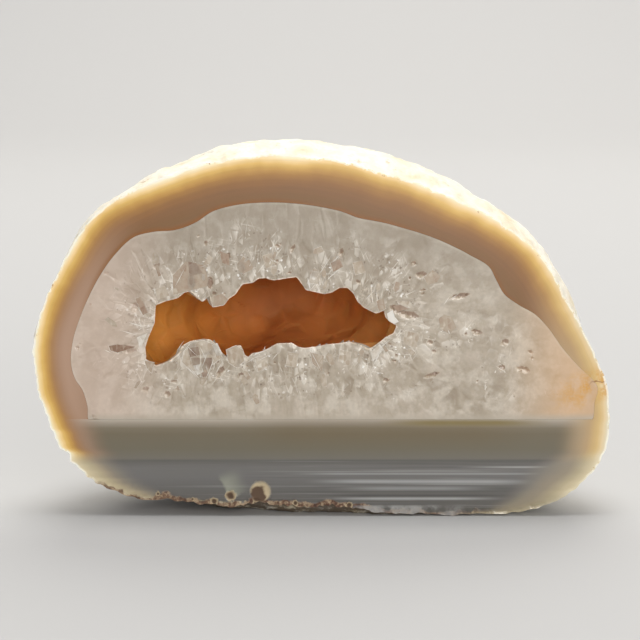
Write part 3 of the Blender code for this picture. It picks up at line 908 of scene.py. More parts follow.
crust = {
    "turns": 720,
    "backRings": 10,
    "faceSpacing": 0.34,
    "seam": 0.02,            # gap between quartz and agate
    "mouth": (               # outline of the hollow's mouth, as (x, z)
        (-30.6, 27.9), (-30.4, 28.2), (-30.6, 29.9), (-29.9, 31.9), (-28.9, 34.2), (-28.7, 37.3),
        (-26.8, 38.0), (-24.9, 38.5), (-24.0, 39.2), (-23.1, 40.1), (-20.6, 37.8), (-19.4, 38.9),
        (-18.8, 36.9), (-16.9, 37.2), (-16.0, 38.4), (-14.9, 39.1), (-13.7, 40.9), (-11.8, 41.2),
        (-10.9, 41.9), (-9.8, 42.0), (-8.3, 41.6), (-6.4, 41.9), (-4.3, 42.2), (-2.7, 39.9),
        (-1.2, 39.6), (0.5, 39.2), (1.9, 39.5), (3.1, 40.3), (4.5, 40.3), (5.6, 39.2), (6.2, 37.9),
        (7.4, 36.8), (9.4, 35.8), (10.8, 36.3), (11.1, 35.1), (11.9, 34.3), (13.0, 33.7),
        (12.5, 32.4), (11.1, 31.7), (9.9, 30.7), (8.6, 29.8), (8.0, 29.6), (6.8, 30.3), (4.9, 30.9),
        (2.8, 30.6), (0.6, 30.4), (-0.6, 30.1), (-2.9, 29.8), (-4.1, 30.0), (-5.1, 30.7),
        (-7.7, 30.6), (-10.2, 29.2), (-11.9, 28.9), (-12.8, 28.2), (-13.3, 28.6), (-14.0, 30.3),
        (-15.7, 30.0), (-16.4, 28.2), (-18.0, 29.7), (-18.6, 30.8), (-19.4, 31.3), (-20.5, 31.4),
        (-22.8, 31.0), (-24.2, 30.2), (-24.6, 29.0), (-26.1, 27.7), (-27.4, 27.1), (-28.7, 26.7),
    ),
    "mouthSpacing": 0.35,
    "hollowHub": (-8.9, 34.6),
    "hollowDepth": 25.0,
    "hollowGrowth": 0.28,    # how much it widens behind the mouth
    "growthReach": 14.0,
    "hollowDrift": (3.0, 0.8),
    "hollowRings": 64,
    "hollowFullness": 2.4,
    "hollowOutline": (       # how far the hollow reaches from its hub, further in
        (0, 19.5), (12, 20.0), (24, 14.0), (50, 12.5), (68, 8.6), (90, 8.8), (112, 8.0), (128, 9.4),
        (150, 12.0), (165, 17.0), (172, 19.6), (182, 20.5), (195, 22.5), (205, 23.6), (218, 15.0),
        (232, 10.5), (252, 8.0), (270, 7.0), (290, 7.6), (310, 9.2), (330, 13.8), (346, 19.5),
    ),
    "facetSize": 4.2,        # crystal faces on the hollow's wall
    "facetDepth": 0.06,
    "hollowSwell": 0.32,      # soft lumps on it
    "hollowSwellSize": 7.0,
    "chipSize": 1.6,         # broken crystal faces round the mouth
    "chipDepth": 0.1,
    "chipReach": 1.2,
    "faceDepth": 0.03,       # the polished quartz lies this far behind the agate's face
    # small cavities in the sawn face: x, z, half length, half width, turn in degrees, depth
    "cavities": (
        (17.2, 42.6, 0.9, 0.5, 10, 0.7), (12.7, 36.6, 0.9, 0.6, -30, 0.9), (15.0, 35.6, 1.7, 0.6, -8, 0.9),
        (23.8, 38.8, 1.6, 0.45, 15, 0.5), (26.9, 32.6, 0.9, 0.4, -10, 0.5), (31.8, 30.8, 0.7, 0.5, 30, 0.6),
        (18.8, 30.8, 0.5, 0.35, 0, 0.4), (35.1, 26.0, 1.1, 0.5, -15, 0.8), (31.3, 26.3, 0.6, 0.5, 40, 0.5),
        (19.1, 25.0, 1.3, 0.35, 20, 0.4), (11.2, 24.1, 0.5, 0.35, 0, 0.4), (-28.5, 44.2, 0.7, 0.4, 60, 0.5),
        (-19.3, 41.2, 0.5, 1.0, 0, 0.5), (-16.4, 45.6, 0.8, 0.5, 60, 0.6), (-32.3, 36.9, 1.0, 0.5, 70, 0.6),
        (-34.6, 29.6, 2.2, 0.7, -5, 0.9), (-14.1, 24.8, 0.9, 0.5, 30, 0.6), (-26.8, 21.7, 0.5, 0.5, 0, 0.4),
        (-30.6, 22.5, 0.6, 0.4, 20, 0.4), (-19.4, 28.0, 1.5, 0.7, -25, 0.9), (-17.6, 25.6, 1.1, 0.4, 60, 0.5),
        (15.9, 44.6, 0.4, 0.3, 0, 0.4), (-5.0, 47.2, 0.7, 0.3, 60, 0.4), (3.4, 46.4, 0.8, 0.3, 75, 0.4),
    ),
    "smallCavities": 34,
    "smallCavity": (0.12, 0.3),
    "dentSink": 0.2,         # share of their depth that is really sunk, the rest is tone
    "cavitySpots": 45,       # points on a square millimetre
    "wellSpots": 20,
    # wells that the clear crystals stand in, the same way
    "wells": (
        (-20.4, 27.8, 3.5, 2.9, 0, 0.9), (-14.4, 28.2, 1.5, 1.6, 0, 0.8), (-0.4, 41.9, 2.9, 2.3, 0, 0.9),
        (8.6, 38.9, 2.4, 2.6, 0, 0.9), (-29.6, 26.6, 0.9, 0.8, 0, 0.6), (-20.6, 40.4, 2.3, 1.3, 0, 0.8),
    ),
    "heart": ((-25.0, 34.0), (6.0, 35.0)),   # line that the crystals grow away from
    "heartBend": 10.0,
    "settleDepth": 3.0,      # from here on the hollow has its rounder outline
    "hollowSmoothing": 16,   # outline points averaged to each side for the wall deep in the hollow
}


def resampled(outline, spacing):
    # evenly spaced points along a closed outline
    closed = np.concatenate([outline, outline[:1]])
    along = np.concatenate([[0.0], np.cumsum(np.hypot(*np.diff(closed, axis=0).T))])
    count = int(along[-1] / spacing)
    wanted = np.arange(count) * along[-1] / count
    return np.stack([np.interp(wanted, along, closed[:, i]) for i in (0, 1)], axis=1)


def mouthOutline():
    return resampled(np.array(crust["mouth"], float)[::-1], crust["mouthSpacing"])


def deepOutline(mouth):
    # the rounder outline of the hollow further in, point for point with the mouth
    hub = np.array(crust["hollowHub"])
    sides = crust["hollowSmoothing"]
    calm = sum(np.roll(mouth, step, axis=0) for step in range(-sides, sides + 1)) / (2 * sides + 1) - hub
    degrees = np.degrees(np.unwrap(np.arctan2(calm[:, 1], calm[:, 0])))
    steps = np.diff(np.append(degrees, degrees[0] + math.copysign(360.0, degrees[-1] - degrees[0])))
    way = math.copysign(1.0, steps.sum())
    steps = np.maximum(steps * way, 0.35)   # always onwards round the hub, so that the wall has no folds
    steps = sum(np.roll(steps, step) for step in range(-sides, sides + 1)) / (2 * sides + 1)
    degrees = degrees[0] + way * np.concatenate([[0.0], np.cumsum(steps)[:-1]]) * 360.0 / steps.sum()
    radius = roundedRadius(crust["hollowOutline"], degrees)
    angle = np.radians(degrees)
    return hub + np.stack([np.cos(angle), np.sin(angle)], axis=1) * radius[:, None]


def dentsAt(flat, dents):
    # depth, share and tone of the face's points in small six-sided dents, with painted shade on the upper
    # slope and the lower slope lighter
    sink, share, tone = np.zeros(len(flat)), np.zeros(len(flat)), np.ones(len(flat))
    for x, z, halfLength, halfWidth, degrees, depth in dents:
        angle = math.radians(degrees)
        away = flat - (x, z)
        along = (away[:, 0] * math.cos(angle) + away[:, 1] * math.sin(angle)) / halfLength
        across = (away[:, 1] * math.cos(angle) - away[:, 0] * math.sin(angle)) / halfWidth
        inside = 1.0 - np.maximum(np.abs(across), np.abs(along) * 0.87 + np.abs(across) * 0.5)
        up = across * math.cos(angle) + along * math.sin(angle)
        tilt = 1.0 + 0.4 * np.clip(up, -1.0, 1.0)
        sink = np.maximum(sink, crust["dentSink"] * depth * np.clip(inside, 0.0, 1.0) * tilt)
        here = smoothStep(-0.15, 0.05, inside)
        tone = np.where(here > share, 0.22 + 0.5 * smoothStep(0.2, -0.6, up + 0.6 * along), tone)
        share = np.maximum(share, here)
    return sink, share, tone


def denseSpots(dents, dice, perSquareMm):
    # extra points where the face is dented
    spots = []
    for x, z, halfLength, halfWidth, degrees, depth in dents:
        count = int(4.0 * halfLength * halfWidth * perSquareMm) + 12
        local = dice.uniform(-1.1, 1.1, (count, 2)) * (halfLength, halfWidth)
        angle = math.radians(degrees)
        turn = np.array(((math.cos(angle), math.sin(angle)), (-math.sin(angle), math.cos(angle))))
        spots.append(local @ turn + (x, z))
    return np.concatenate(spots)


def growthOf(flat):
    # place among crystals that grow away from the heart line, in mm: x and y go round it, z outwards
    start, end = (np.array(p) for p in crust["heart"])
    line = end - start
    length = np.hypot(*line)
    share = np.clip(((flat - start) @ line) / length**2, 0.0, 1.0)
    away = flat - start - share[:, None] * line
    outwards = np.hypot(away[:, 0], away[:, 1])
    angle = np.arctan2(away[:, 1], away[:, 0])
    bend = crust["heartBend"]
    upper = np.where(angle > 0, share * length + (math.pi / 2 - angle) * bend,
                     -share * length - (math.pi * 1.5 + angle) * bend)
    whole = 2.0 * length + 2.0 * math.pi * bend
    turn = upper / whole * 2.0 * math.pi
    radius = whole / (2.0 * math.pi)
    return np.stack([radius * np.cos(turn), radius * np.sin(turn), outwards], axis=1)


def hollowInto(shape, mouth, startY, first):
    # the hollow's wall, from the mouth's outline at startY to its far end
    hub, drift = np.array(crust["hollowHub"]), np.array(crust["hollowDrift"])
    depth, count, last = crust["hollowDepth"], len(mouth), first
    reach, calm = mouth - hub, deepOutline(mouth) - hub
    for step in range(1, crust["hollowRings"]):
        back = depth * math.sin(step / crust["hollowRings"] * math.pi / 2)
        growth = 1.0 + crust["hollowGrowth"] * math.sin(math.pi * min(back / crust["growthReach"], 1.0))
        shrink = shrinkAt(back / depth, crust["hollowFullness"])
        settled = float(smoothStep(0.0, crust["settleDepth"], back))
        ring = hub + drift * back / depth + (reach * (1.0 - settled) + calm * settled) * growth * shrink
        points = standing(ring, faceY + back + (startY - faceY) * max(0.0, 1.0 - back / 2.0))
        outwards = standing(reach * shrink, back * 0.6)
        outwards /= np.linalg.norm(outwards, axis=1)[:, None] + 1e-9
        relief = facetAt(points, crust["facetSize"]) * crust["facetDepth"]
        relief += fractalAt(points, crust["hollowSwellSize"], 2) * crust["hollowSwell"]
        points += outwards * (relief * min(1.0, back / 1.5) * min(1.0, float(shrink) * 3.0))[:, None]
        here = shape.addPoints(points)
        shape.addFaces(ringFaces(last, here, count)[:, ::-1], 0 if step == 1 else 1)
        last = here
    tipCentre = hub + drift
    tip = shape.addPoints([(tipCentre[0], faceY + depth, tipCentre[1])])
    shape.addFaces(tipFaces(last, tip, count)[:, ::-1], 1)


def makeCrust(dice, materials):
    shape = Shape()
    count = crust["turns"]
    turns = np.arange(count) * 360.0 / count
    outer = wallRing(turns, 0.0, crust["seam"])[:, [0, 2]]
    mouth = mouthOutline()
    mouth = mouth + dice.uniform(-0.02, 0.02, mouth.shape)
    loose = scatterPoints(outer, mouth, crust["faceSpacing"], dice)
    cavities = list(crust["cavities"])
    spread = loose[dice.permutation(len(loose))[:crust["smallCavities"] * 6]]
    crowd = np.array([noise.noise(Vector((x / 5.0, 3.0, z / 5.0))) for x, z in spread])
    crowd -= gapTo(spread, mouth) * 0.02
    for x, z in spread[np.argsort(-crowd)][:crust["smallCavities"]]:
        size = dice.uniform(*crust["smallCavity"])
        cavities.append((x, z, size * dice.uniform(1.0, 2.2), size, dice.uniform(0, 180), size * 0.9))
    extra = np.concatenate([denseSpots(cavities, dice, crust["cavitySpots"]),
                            denseSpots(crust["wells"], dice, crust["wellSpots"])])
    extra = extra[insideOutline(extra, outer) & ~insideOutline(extra, mouth)]
    extra = extra[(gapTo(extra, outer) > 0.1) & (gapTo(extra, mouth) > 0.1)]
    loose = np.concatenate([loose, extra])
    flat, faces = fillBetween(outer, mouth, loose)
    wallGap, mouthGap = gapTo(flat, outer), gapTo(flat, mouth)
    points = standing(flat, faceY + crust["faceDepth"] * smoothStep(0.0, 3.0, wallGap))
    chips = facetAt(points, crust["chipSize"])
    near = smoothStep(crust["chipReach"], 0.0, mouthGap)
    sink = near * crust["chipDepth"] * (0.35 + np.clip(chips * 1.6 + 0.3, 0.0, 1.5))
    cavitySink, cavity, cavityTone = dentsAt(flat, cavities)
    wellSink, _, _ = dentsAt(flat, crust["wells"])
    roughness = facetAt(points, 0.55) * np.maximum(cavity, smoothStep(0.1, 0.5, wellSink))
    points[:, 1] += sink + np.maximum(cavitySink, wellSink) + np.maximum(0.0, roughness * 0.9)
    start = shape.addPoints(points)
    shape.addFaces(faces, 0)
    hollowInto(shape, mouth, points[count:count + len(mouth), 1], start + count)
    last = start
    for step in range(1, crust["backRings"]):
        here = shape.addPoints(wallRing(turns, step / crust["backRings"], crust["seam"]))
        shape.addFaces(ringFaces(last, here, count), 0)
        last = here
    tip = shape.addPoints(wallRing(np.array([0.0]), 1.0, crust["seam"]))
    shape.addFaces(tipFaces(last, tip, count), 0)
    piece = shape.build("quartzCrust", materials, 36.0, {
        "growth": shape.wholeMark(growthOf(flat)),
        "cavity": shape.wholeMark(cavity),
        "cavityTone": shape.wholeMark(cavityTone),
        "well": shape.wholeMark(smoothStep(0.05, 0.5, wellSink)),
        "wallGap": shape.wholeMark(wallGap, 9.0),
        "mouthGap": shape.wholeMark(mouthGap, 0.7),
    })
    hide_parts("quartz_crust")

# Crystals

def crystalInto(shape, root, direction, radius, length, spin, finish, flatness=1.0, edge=0.0):
    # a six-sided quartz point: a prism from its root and an uneven pyramid on its end. With an edge width,
    # narrow worn strips run along its edges and take the next finish, partly wear and partly a painted
    # highlight
    upright = Vector(direction).to_track_quat("Z", "Y").to_matrix().to_4x4()
    place = Matrix.Translation(root) @ upright @ Matrix.Rotation(spin, 4, "Z")
    sides = (-0.5, 0.5) if edge else (0.0,)
    angles = [i * math.pi / 3 + side * edge / radius for i in range(6) for side in sides]
    corners = [(math.cos(angle) * radius, math.sin(angle) * radius * flatness) for angle in angles]
    count = len(corners)
    cone = min(length * 0.6, radius * 1.15)
    foot = [place @ Vector((x, y, 0.0)) for x, y in corners]
    neck = [place @ Vector((x * 0.95, y * 0.95, length - cone * (1.0 + 0.25 * (i // len(sides) % 2))))
            for i, (x, y) in enumerate(corners)]
    tip = place @ Vector((radius * 0.08, radius * 0.05, length))
    base = shape.addPoints([tuple(p) for p in foot + neck + [tip]])
    sideFaces = ringFaces(base, base + count, count)
    faces = np.concatenate([sideFaces, tipFaces(base + count, base + 2 * count, count)])
    strips = (np.arange(len(faces)) % 2 == 0) & bool(edge)
    shape.addFaces(faces[~strips], finish)
    if edge:
        shape.addFaces(faces[strips], finish + 1)
    shape.addFaces([(base, base + i + 1, base + i) for i in range(1, count - 1)], finish)


clearPoints = {
    "edge": 0.16,              # width of the worn edges, which also carry a painted highlight
    # bright tone of the edge strips: a painted highlight along the crystal edges
    "edgeHighlightTone": 0.9,
    # (x, y behind the face, z) of the root, direction, radius, length
    "crystals": (
        ((-22.0, 2.0, 25.6), (-0.12, -0.18, 1.0), 1.8, 5.4),
        ((-19.4, 1.9, 25.2), (0.12, -0.15, 1.0), 1.9, 6.0),
        ((-20.8, 1.3, 24.8), (0.0, -0.1, 1.0), 1.4, 5.6),
        ((-23.2, 1.5, 26.4), (-0.4, -0.15, 1.0), 1.2, 3.0),
        ((-18.0, 1.6, 24.8), (0.35, -0.1, 1.0), 1.2, 3.7),
        ((-22.6, 1.6, 24.6), (0.7, -0.2, 0.8), 0.9, 4.0),
        ((-14.6, 1.6, 26.6), (0.08, -0.12, 1.0), 1.25, 3.3),
        ((-30.4, 1.4, 26.1), (0.7, -0.1, 0.5), 0.9, 1.7),
        ((-22.6, 1.8, 41.8), (0.2, -0.12, -1.0), 1.5, 2.9),
        ((-20.2, 1.7, 41.6), (0.05, -0.1, -1.0), 1.4, 3.1),
        ((-18.2, 1.7, 41.0), (-0.1, -0.1, -1.0), 1.2, 3.6),
        ((-2.2, 1.8, 44.0), (0.25, -0.12, -1.0), 1.6, 4.9),
        ((1.4, 1.9, 43.9), (-0.3, -0.12, -1.0), 1.7, 4.8),
        ((-0.4, 1.2, 43.4), (0.05, -0.1, -1.0), 1.0, 4.0),
        ((7.2, 1.8, 41.2), (0.1, -0.12, -1.0), 1.8, 4.8),
        ((9.8, 1.8, 40.8), (0.05, -0.1, -1.0), 1.7, 4.9),
        ((8.4, 1.1, 40.6), (0.1, -0.05, -1.0), 1.0, 4.0),
        ((13.4, 1.2, 36.6), (-0.9, -0.05, -0.5), 0.8, 2.6),
    ),
}


def makeClearPoints(dice, materials):
    shape = Shape()
    for (x, y, z), direction, radius, length in clearPoints["crystals"]:
        spin = dice.uniform(0.0, 1.0)
        crystalInto(shape, (x, faceY + y, z), direction, radius, length, spin, 0, 1.0, clearPoints["edge"])
    tones = np.full(shape.count, clearPoints["edgeHighlightTone"])
    piece = shape.build("clearPoints", materials, 5.0, {"tone": tones})


sections = {
    # crystals that the saw cut through, each with its own clearness: corners as (x, z), tone (0 brownish and
    # clear to 1 white), distance behind the face, how many of its sides carry a painted highlight
    "drawn": (
        (((-25.8, 42.5), (-25.7, 39.0), (-22.8, 39.7), (-19.3, 40.7), (-20.2, 44.2), (-23.5, 44.9)),
         0.36, 0.02, 3),
        (((-23.1, 44.9), (-22.8, 42.3), (-20.6, 42.9), (-21.6, 44.6)), 0.12, 0.01, 0),
        (((-19.5, 42.0), (-19.8, 40.7), (-19.2, 40.1), (-18.9, 41.6)), -0.1, 0.01, 1),
        (((-37.0, 30.2), (-36.7, 29.3), (-35.4, 28.9), (-32.3, 30.0), (-35.4, 30.4)), -0.15, 0.0, 3),
        (((-32.0, 31.7), (-31.5, 29.5), (-30.2, 32.4)), 1.0, 0.01, 0),
        (((-32.3, 38.5), (-30.9, 35.4), (-30.1, 36.0), (-31.3, 38.8)), 0.15, 0.01, 2),
        (((-28.9, 40.0), (-28.3, 38.1), (-26.3, 39.0), (-27.1, 40.7)), 0.6, 0.02, 1),
        (((-30.8, 27.7), (-30.4, 26.2), (-29.5, 25.3), (-29.0, 27.3)), 0.4, 0.0, 4),
        (((-17.6, 46.8), (-17.2, 44.7), (-15.9, 44.2), (-16.0, 46.1)), 0.12, 0.01, 1),
        (((-28.9, 44.5), (-28.2, 42.3), (-27.7, 42.5), (-28.3, 44.5)), 0.1, 0.01, 1),
        (((11.3, 35.8), (11.6, 34.6), (12.6, 34.0), (13.4, 34.4), (12.7, 35.3), (12.3, 36.5)), 1.25, 0.0, 6),
        (((8.6, 29.1), (8.9, 27.4), (10.8, 29.5), (10.1, 30.5)), 1.0, 0.01, 2),
        (((9.4, 38.1), (10.0, 36.0), (11.2, 36.7), (10.7, 38.5)), 0.3, 0.01, 3),
        (((1.5, 44.7), (2.0, 43.0), (3.7, 44.0), (3.2, 45.4)), 0.15, 0.01, 2),
        (((-1.6, 43.3), (-2.3, 41.2), (-0.6, 40.9), (0.1, 43.0)), 0.7, 0.0, 3),
        (((5.3, 44.7), (5.8, 42.5), (7.7, 43.0), (7.0, 45.1)), 0.55, 0.02, 2),
        (((-14.1, 44.7), (-13.6, 42.6), (-11.7, 43.7), (-12.4, 45.2)), 0.3, 0.02, 2),
        (((-10.3, 45.9), (-9.6, 43.7), (-7.7, 44.7), (-8.6, 46.4)), 0.6, 0.02, 1),
        (((-18.9, 37.0), (-16.9, 37.3), (-16.2, 38.3), (-17.2, 39.3), (-19.1, 38.7)), 0.3, 0.0, 2),
        (((-5.8, 29.1), (-6.2, 26.7), (-4.4, 26.3), (-3.9, 28.8)), 0.62, 0.02, 2),
        (((-2.0, 29.1), (-1.6, 27.0), (0.1, 25.6), (0.4, 28.4)), 0.4, 0.02, 2),
        (((3.2, 29.5), (2.9, 27.4), (4.9, 26.7), (5.3, 29.1)), 0.7, 0.02, 1),
        (((-11.5, 28.1), (-11.2, 25.6), (-9.3, 26.3), (-9.4, 28.8)), 0.7, 0.02, 2),
        (((17.6, 42.2), (18.4, 40.8), (20.0, 41.3), (20.6, 42.4), (19.2, 43.4)), 0.42, 0.02, 1),
        (((20.3, 34.9), (20.6, 33.1), (22.2, 32.3), (23.4, 33.4), (22.6, 35.2), (21.2, 35.7)), 0.44, 0.02, 0),
        (((14.5, 32.9), (14.1, 30.5), (16.4, 29.8), (17.1, 32.2)), 0.62, 0.02, 1),
        (((-22.8, 30.7), (-24.0, 29.1), (-24.3, 27.4), (-22.8, 25.6), (-20.0, 26.0), (-17.2, 28.1),
          (-18.3, 30.3), (-20.5, 31.2)), 0.62, 0.012, 8),
        (((-23.3, 29.8), (-22.8, 28.2), (-21.1, 28.6), (-21.4, 30.0)), 0.1, 0.006, 1),
        (((-22.8, 28.1), (-22.3, 26.5), (-19.1, 26.7), (-19.0, 28.1)), 0.3, 0.008, 1),
        (((-20.2, 27.9), (-19.8, 26.0), (-19.0, 26.3), (-19.1, 28.1)), 0.0, 0.004, 0),
        (((-21.1, 26.2), (-20.7, 24.6), (-19.7, 24.8), (-20.0, 26.3)), 0.1, 0.004, 2),
        (((-22.3, 26.7), (-21.6, 25.0), (-20.5, 25.6), (-20.9, 27.0)), 1.0, 0.002, 0),
        (((-19.0, 30.3), (-18.1, 28.4), (-17.1, 28.6), (-18.1, 30.7)), 0.95, 0.002, 2),
        (((-16.6, 29.5), (-16.2, 27.2), (-14.8, 26.3), (-13.4, 27.4), (-13.6, 29.5), (-14.8, 30.3)),
         0.5, 0.01, 6),
        (((12.9, 38.1), (13.6, 37.1), (16.0, 36.7), (15.3, 38.0)), 0.7, 0.01, 1),
        (((12.2, 37.1), (13.3, 36.2), (15.3, 36.6), (13.6, 37.4)), 0.05, 0.005, 0)),
    # single bright crack planes: both ends as (x, z), width
    "cracks": (
        ((-23.5, 30.3), (-21.4, 28.2), 0.14), ((-21.2, 30.2), (-20.0, 27.7), 0.12),
        ((-19.7, 29.1), (-21.1, 25.6), 0.12), ((-18.6, 28.1), (-19.8, 25.0), 0.14),
        ((-22.8, 26.3), (-21.2, 24.3), 0.14), ((-25.2, 29.1), (-23.8, 31.2), 0.12),
        ((-17.2, 27.4), (-18.6, 25.0), 0.12), ((-2.2, 39.9), (2.3, 46.8), 0.12),
        ((-2.4, 42.1), (-1.9, 39.8), 0.42), ((21.1, 37.3), (22.3, 39.0), 0.14),
        ((21.9, 38.1), (23.8, 39.3), 0.12), ((8.8, 26.3), (10.8, 30.3), 0.16),
        ((9.8, 29.5), (12.2, 31.5), 0.14), ((-12.4, 28.2), (-8.6, 30.0), 0.16),
        ((-11.4, 27.4), (-7.9, 29.1), 0.1), ((-13.3, 27.0), (-10.3, 28.9), 0.1),
        ((-2.0, 29.5), (0.1, 25.5), 0.12), ((-25.4, 40.4), (-23.5, 44.0), 0.12),
        ((-33.5, 34.3), (-30.1, 33.3), 0.2), ((-34.9, 32.9), (-31.5, 31.9), 0.14),
        ((-37.7, 29.5), (-36.3, 28.8), 0.14), ((-32.0, 37.1), (-30.6, 35.0), 0.12),
        ((-28.0, 43.3), (-26.9, 40.7), 0.1), ((-18.5, 43.3), (-17.8, 40.9), 0.12),
        ((1.8, 44.7), (3.6, 46.4), 0.1), ((7.5, 38.1), (9.4, 40.2), 0.12),
        ((-23.5, 26.7), (-21.7, 24.6), 0.18), ((-20.2, 24.3), (-19.0, 26.7), 0.12),
        ((14.0, 38.8), (16.4, 39.9), 0.12), ((30.2, 26.7), (32.3, 25.3), 0.12),
        ((-8.6, 27.7), (-7.4, 29.1), 0.12), ((0.8, 41.6), (3.2, 43.7), 0.14)),
    # knots of short bright cracks: x, z, how many, size
    "flecks": (
        (31.1, 26.5, 7, 1.2), (28.9, 23.4, 6, 1.0), (25.7, 30.8, 4, 0.9), (21.4, 32.9, 3, 1.0),
        (9.8, 25.6, 5, 1.4), (-10.3, 29.1, 5, 1.0), (-28.9, 39.9, 4, 1.2), (-30.9, 33.8, 6, 1.4),
        (-20.2, 44.7, 4, 1.2), (-11.5, 44.7, 5, 1.2), (-8.1, 45.4, 4, 1.0), (-3.7, 25.6, 4, 1.2),
        (3.2, 26.3, 4, 1.2)),
    "fleckWidth": (0.1, 0.22),
    "count": 44,               # of the scattered ones
    "length": (0.9, 2.6),
    "slimness": (0.35, 0.62),
    "tone": (0.52, 0.09),      # mean and spread
    "turnSpread": 0.3,         # radians
    "reach": 7.5,              # how far from the mouth they stand
    "wallClear": 3.0,
    "lowest": 19.5,
    "lift": 0.025,
    "rim": 0.07,
    "rimHighlightTone": 1.1,
    "crackTone": 1.5,
    "thickness": 0.3,
}


def sectionInto(shape, tones, corners, lift, tone, brightSides):
    # a thin plate flush with the face: a rim that may carry a painted highlight and a clear or milky middle
    middle = corners.mean(axis=0)
    away = corners - middle
    inner = middle + away * (1.0 - sections["rim"] / np.hypot(*away.T))[:, None]
    count = len(corners)
    front = faceY + lift
    rings = ((corners, front), (inner, front), (inner, front), (inner, front + sections["thickness"]))
    base = shape.addPoints(np.concatenate([standing(ring, y) for ring, y in rings]))
    shape.addFaces(ringFaces(base, base + count, count), 0)
    middleStart, backStart = base + 2 * count, base + 3 * count
    shape.addFaces([(middleStart, middleStart + i, middleStart + i + 1) for i in range(1, count - 1)], 0)
    shape.addFaces(ringFaces(backStart, base, count), 0)
    shape.addFaces([(backStart, backStart + i + 1, backStart + i) for i in range(1, count - 1)], 0)
    rimTones = [sections["rimHighlightTone"] if i < brightSides else tone for i in range(count)]
    tones += rimTones * 2 + [tone] * count * 2


def crackInto(shape, tones, start, end, width):
    start, end = np.array(start, float), np.array(end, float)
    side = np.array((start[1] - end[1], end[0] - start[0]))
    side *= width / 2 / np.hypot(*side)
    middle = start + (end - start) * 0.4
    corners = np.array((start, middle - side, end, middle + side))
    sectionInto(shape, tones, corners, 0.0, sections["crackTone"], 4)


def makeSections(dice, materials):
    shape, tones = Shape(), []
    mouth = mouthOutline()
    wall = wallRing(np.arange(0.0, 360.0, 3.0), 0.0, 0.0)[:, [0, 2]]
    count = len(mouth)
    for number in range(sections["count"]):
        index = int(dice.uniform(0, count))
        side = mouth[(index + 5) % count] - mouth[(index - 5) % count]
        side /= np.hypot(*side)
        outwards = np.array((side[1], -side[0]))
        length = dice.uniform(*sections["length"])
        width = length * dice.uniform(*sections["slimness"])
        away = length / 2 + dice.uniform(0.0, 1.0) ** 1.4 * sections["reach"] + 0.1
        middle = mouth[index] + outwards * away
        spot = middle[None, :]
        if (insideOutline(spot, mouth)[0] or not insideOutline(spot, wall)[0]
                or gapTo(spot, wall)[0] < sections["wallClear"] or gapTo(spot, mouth)[0] < length * 0.5
                or middle[1] < sections["lowest"]):
            continue
        turn = math.atan2(-outwards[1], -outwards[0]) + dice.normal(0.0, sections["turnSpread"])
        ahead = np.array((math.cos(turn), math.sin(turn)))
        left = np.array((-ahead[1], ahead[0])) * width / 2
        shoulder = length / 2 - width * dice.uniform(0.4, 0.8)
        corners = np.array([
            middle - ahead * length / 2 - left * 0.8, middle + ahead * shoulder - left,
            middle + ahead * length / 2, middle + ahead * (shoulder - 0.1) + left,
            middle - ahead * length * 0.46 + left * dice.uniform(0.5, 1.0)])
        lift, tone = dice.uniform(0.0, sections["lift"]), dice.normal(*sections["tone"])
        sectionInto(shape, tones, corners, lift, tone, int(dice.uniform(0, 2.6)))
    for corners, tone, lift, brightSides in sections["drawn"]:
        sectionInto(shape, tones, np.array(corners, float), lift, tone, brightSides)
    for start, end, width in sections["cracks"]:
        crackInto(shape, tones, start, end, width)
    scatter = np.random.default_rng(5)
    for x, z, count, size in sections["flecks"]:
        for number in range(count):
            turn, half = scatter.uniform(0.0, math.pi), scatter.uniform(0.17, 0.45) * size
            middle = scatter.uniform(-0.8, 0.8, 2) * size + (x, z)
            reach = np.array((math.cos(turn), math.sin(turn))) * half
            crackInto(shape, tones, middle - reach, middle + reach, scatter.uniform(*sections["fleckWidth"]))
    piece = shape.build("cutCrystals", materials, 5.0, {"tone": np.array(tones)})


druse = {
    "tipCount": 30,            # points round the mouth, just behind the face
    "radius": (0.7, 1.4),
    "length": (1.6, 3.2),
    "back": (0.15, 0.9),       # how far their tips keep from the mouth's outline
    "sunk": (0.5, 2.5),
    "lean": (-0.6, 0.6),
    "leanOut": (-0.4, 0.4),
    "flatness": (0.7, 1.2),
    "tone": (0.5, 0.9),
}


def makeDruse(dice, materials):
    shape, tones = Shape(), []
    mouth = mouthOutline()
    count = len(mouth)
    for number in range(druse["tipCount"]):
        index = int(dice.uniform(0, count))
        around = (mouth[(index + i) % count] for i in (0, 4, -4))
        here, ahead, behind = (Vector((x, 0.0, z)) for x, z in around)
        side = (ahead - behind).normalized()
        inwards = side.cross(Vector((0.0, 1.0, 0.0)))
        back, radius, length, sunk, lean, leanOut = (dice.uniform(*druse[name]) for name in (
            "back", "radius", "length", "sunk", "lean", "leanOut"))
        direction = inwards + side * lean + Vector((0.0, leanOut, 0.0))
        direction.normalize()
        tip = here - inwards * back + direction * dice.uniform(0.0, 0.4)
        root = tip - direction * length
        root.y = faceY + radius + sunk + min(0.0, direction.y) * length * 0.5
        spin, flatness = dice.uniform(0.0, 1.0), dice.uniform(*druse["flatness"])
        crystalInto(shape, root, direction, radius, length, spin, 0, flatness)
        tones += [dice.uniform(*druse["tone"])] * (shape.count - len(tones))
    piece = shape.build("druseCrystals", materials, 5.0, {"tone": np.array(tones)})


# Floor, lights and camera

stage = {
    "floorColour": "#bfc0c2",
    "floorSize": 6000.0,
    "wallDistance": 900.0,
    "wallHeight": 1500.0,
    "wallBend": 500.0,
    "bendSteps": 16,
    "patterns": {"grain": (1.5, 3.0, 0.5)},
    "worldColour": "#f7f5f2",
    "worldStrength": 0.40,
}


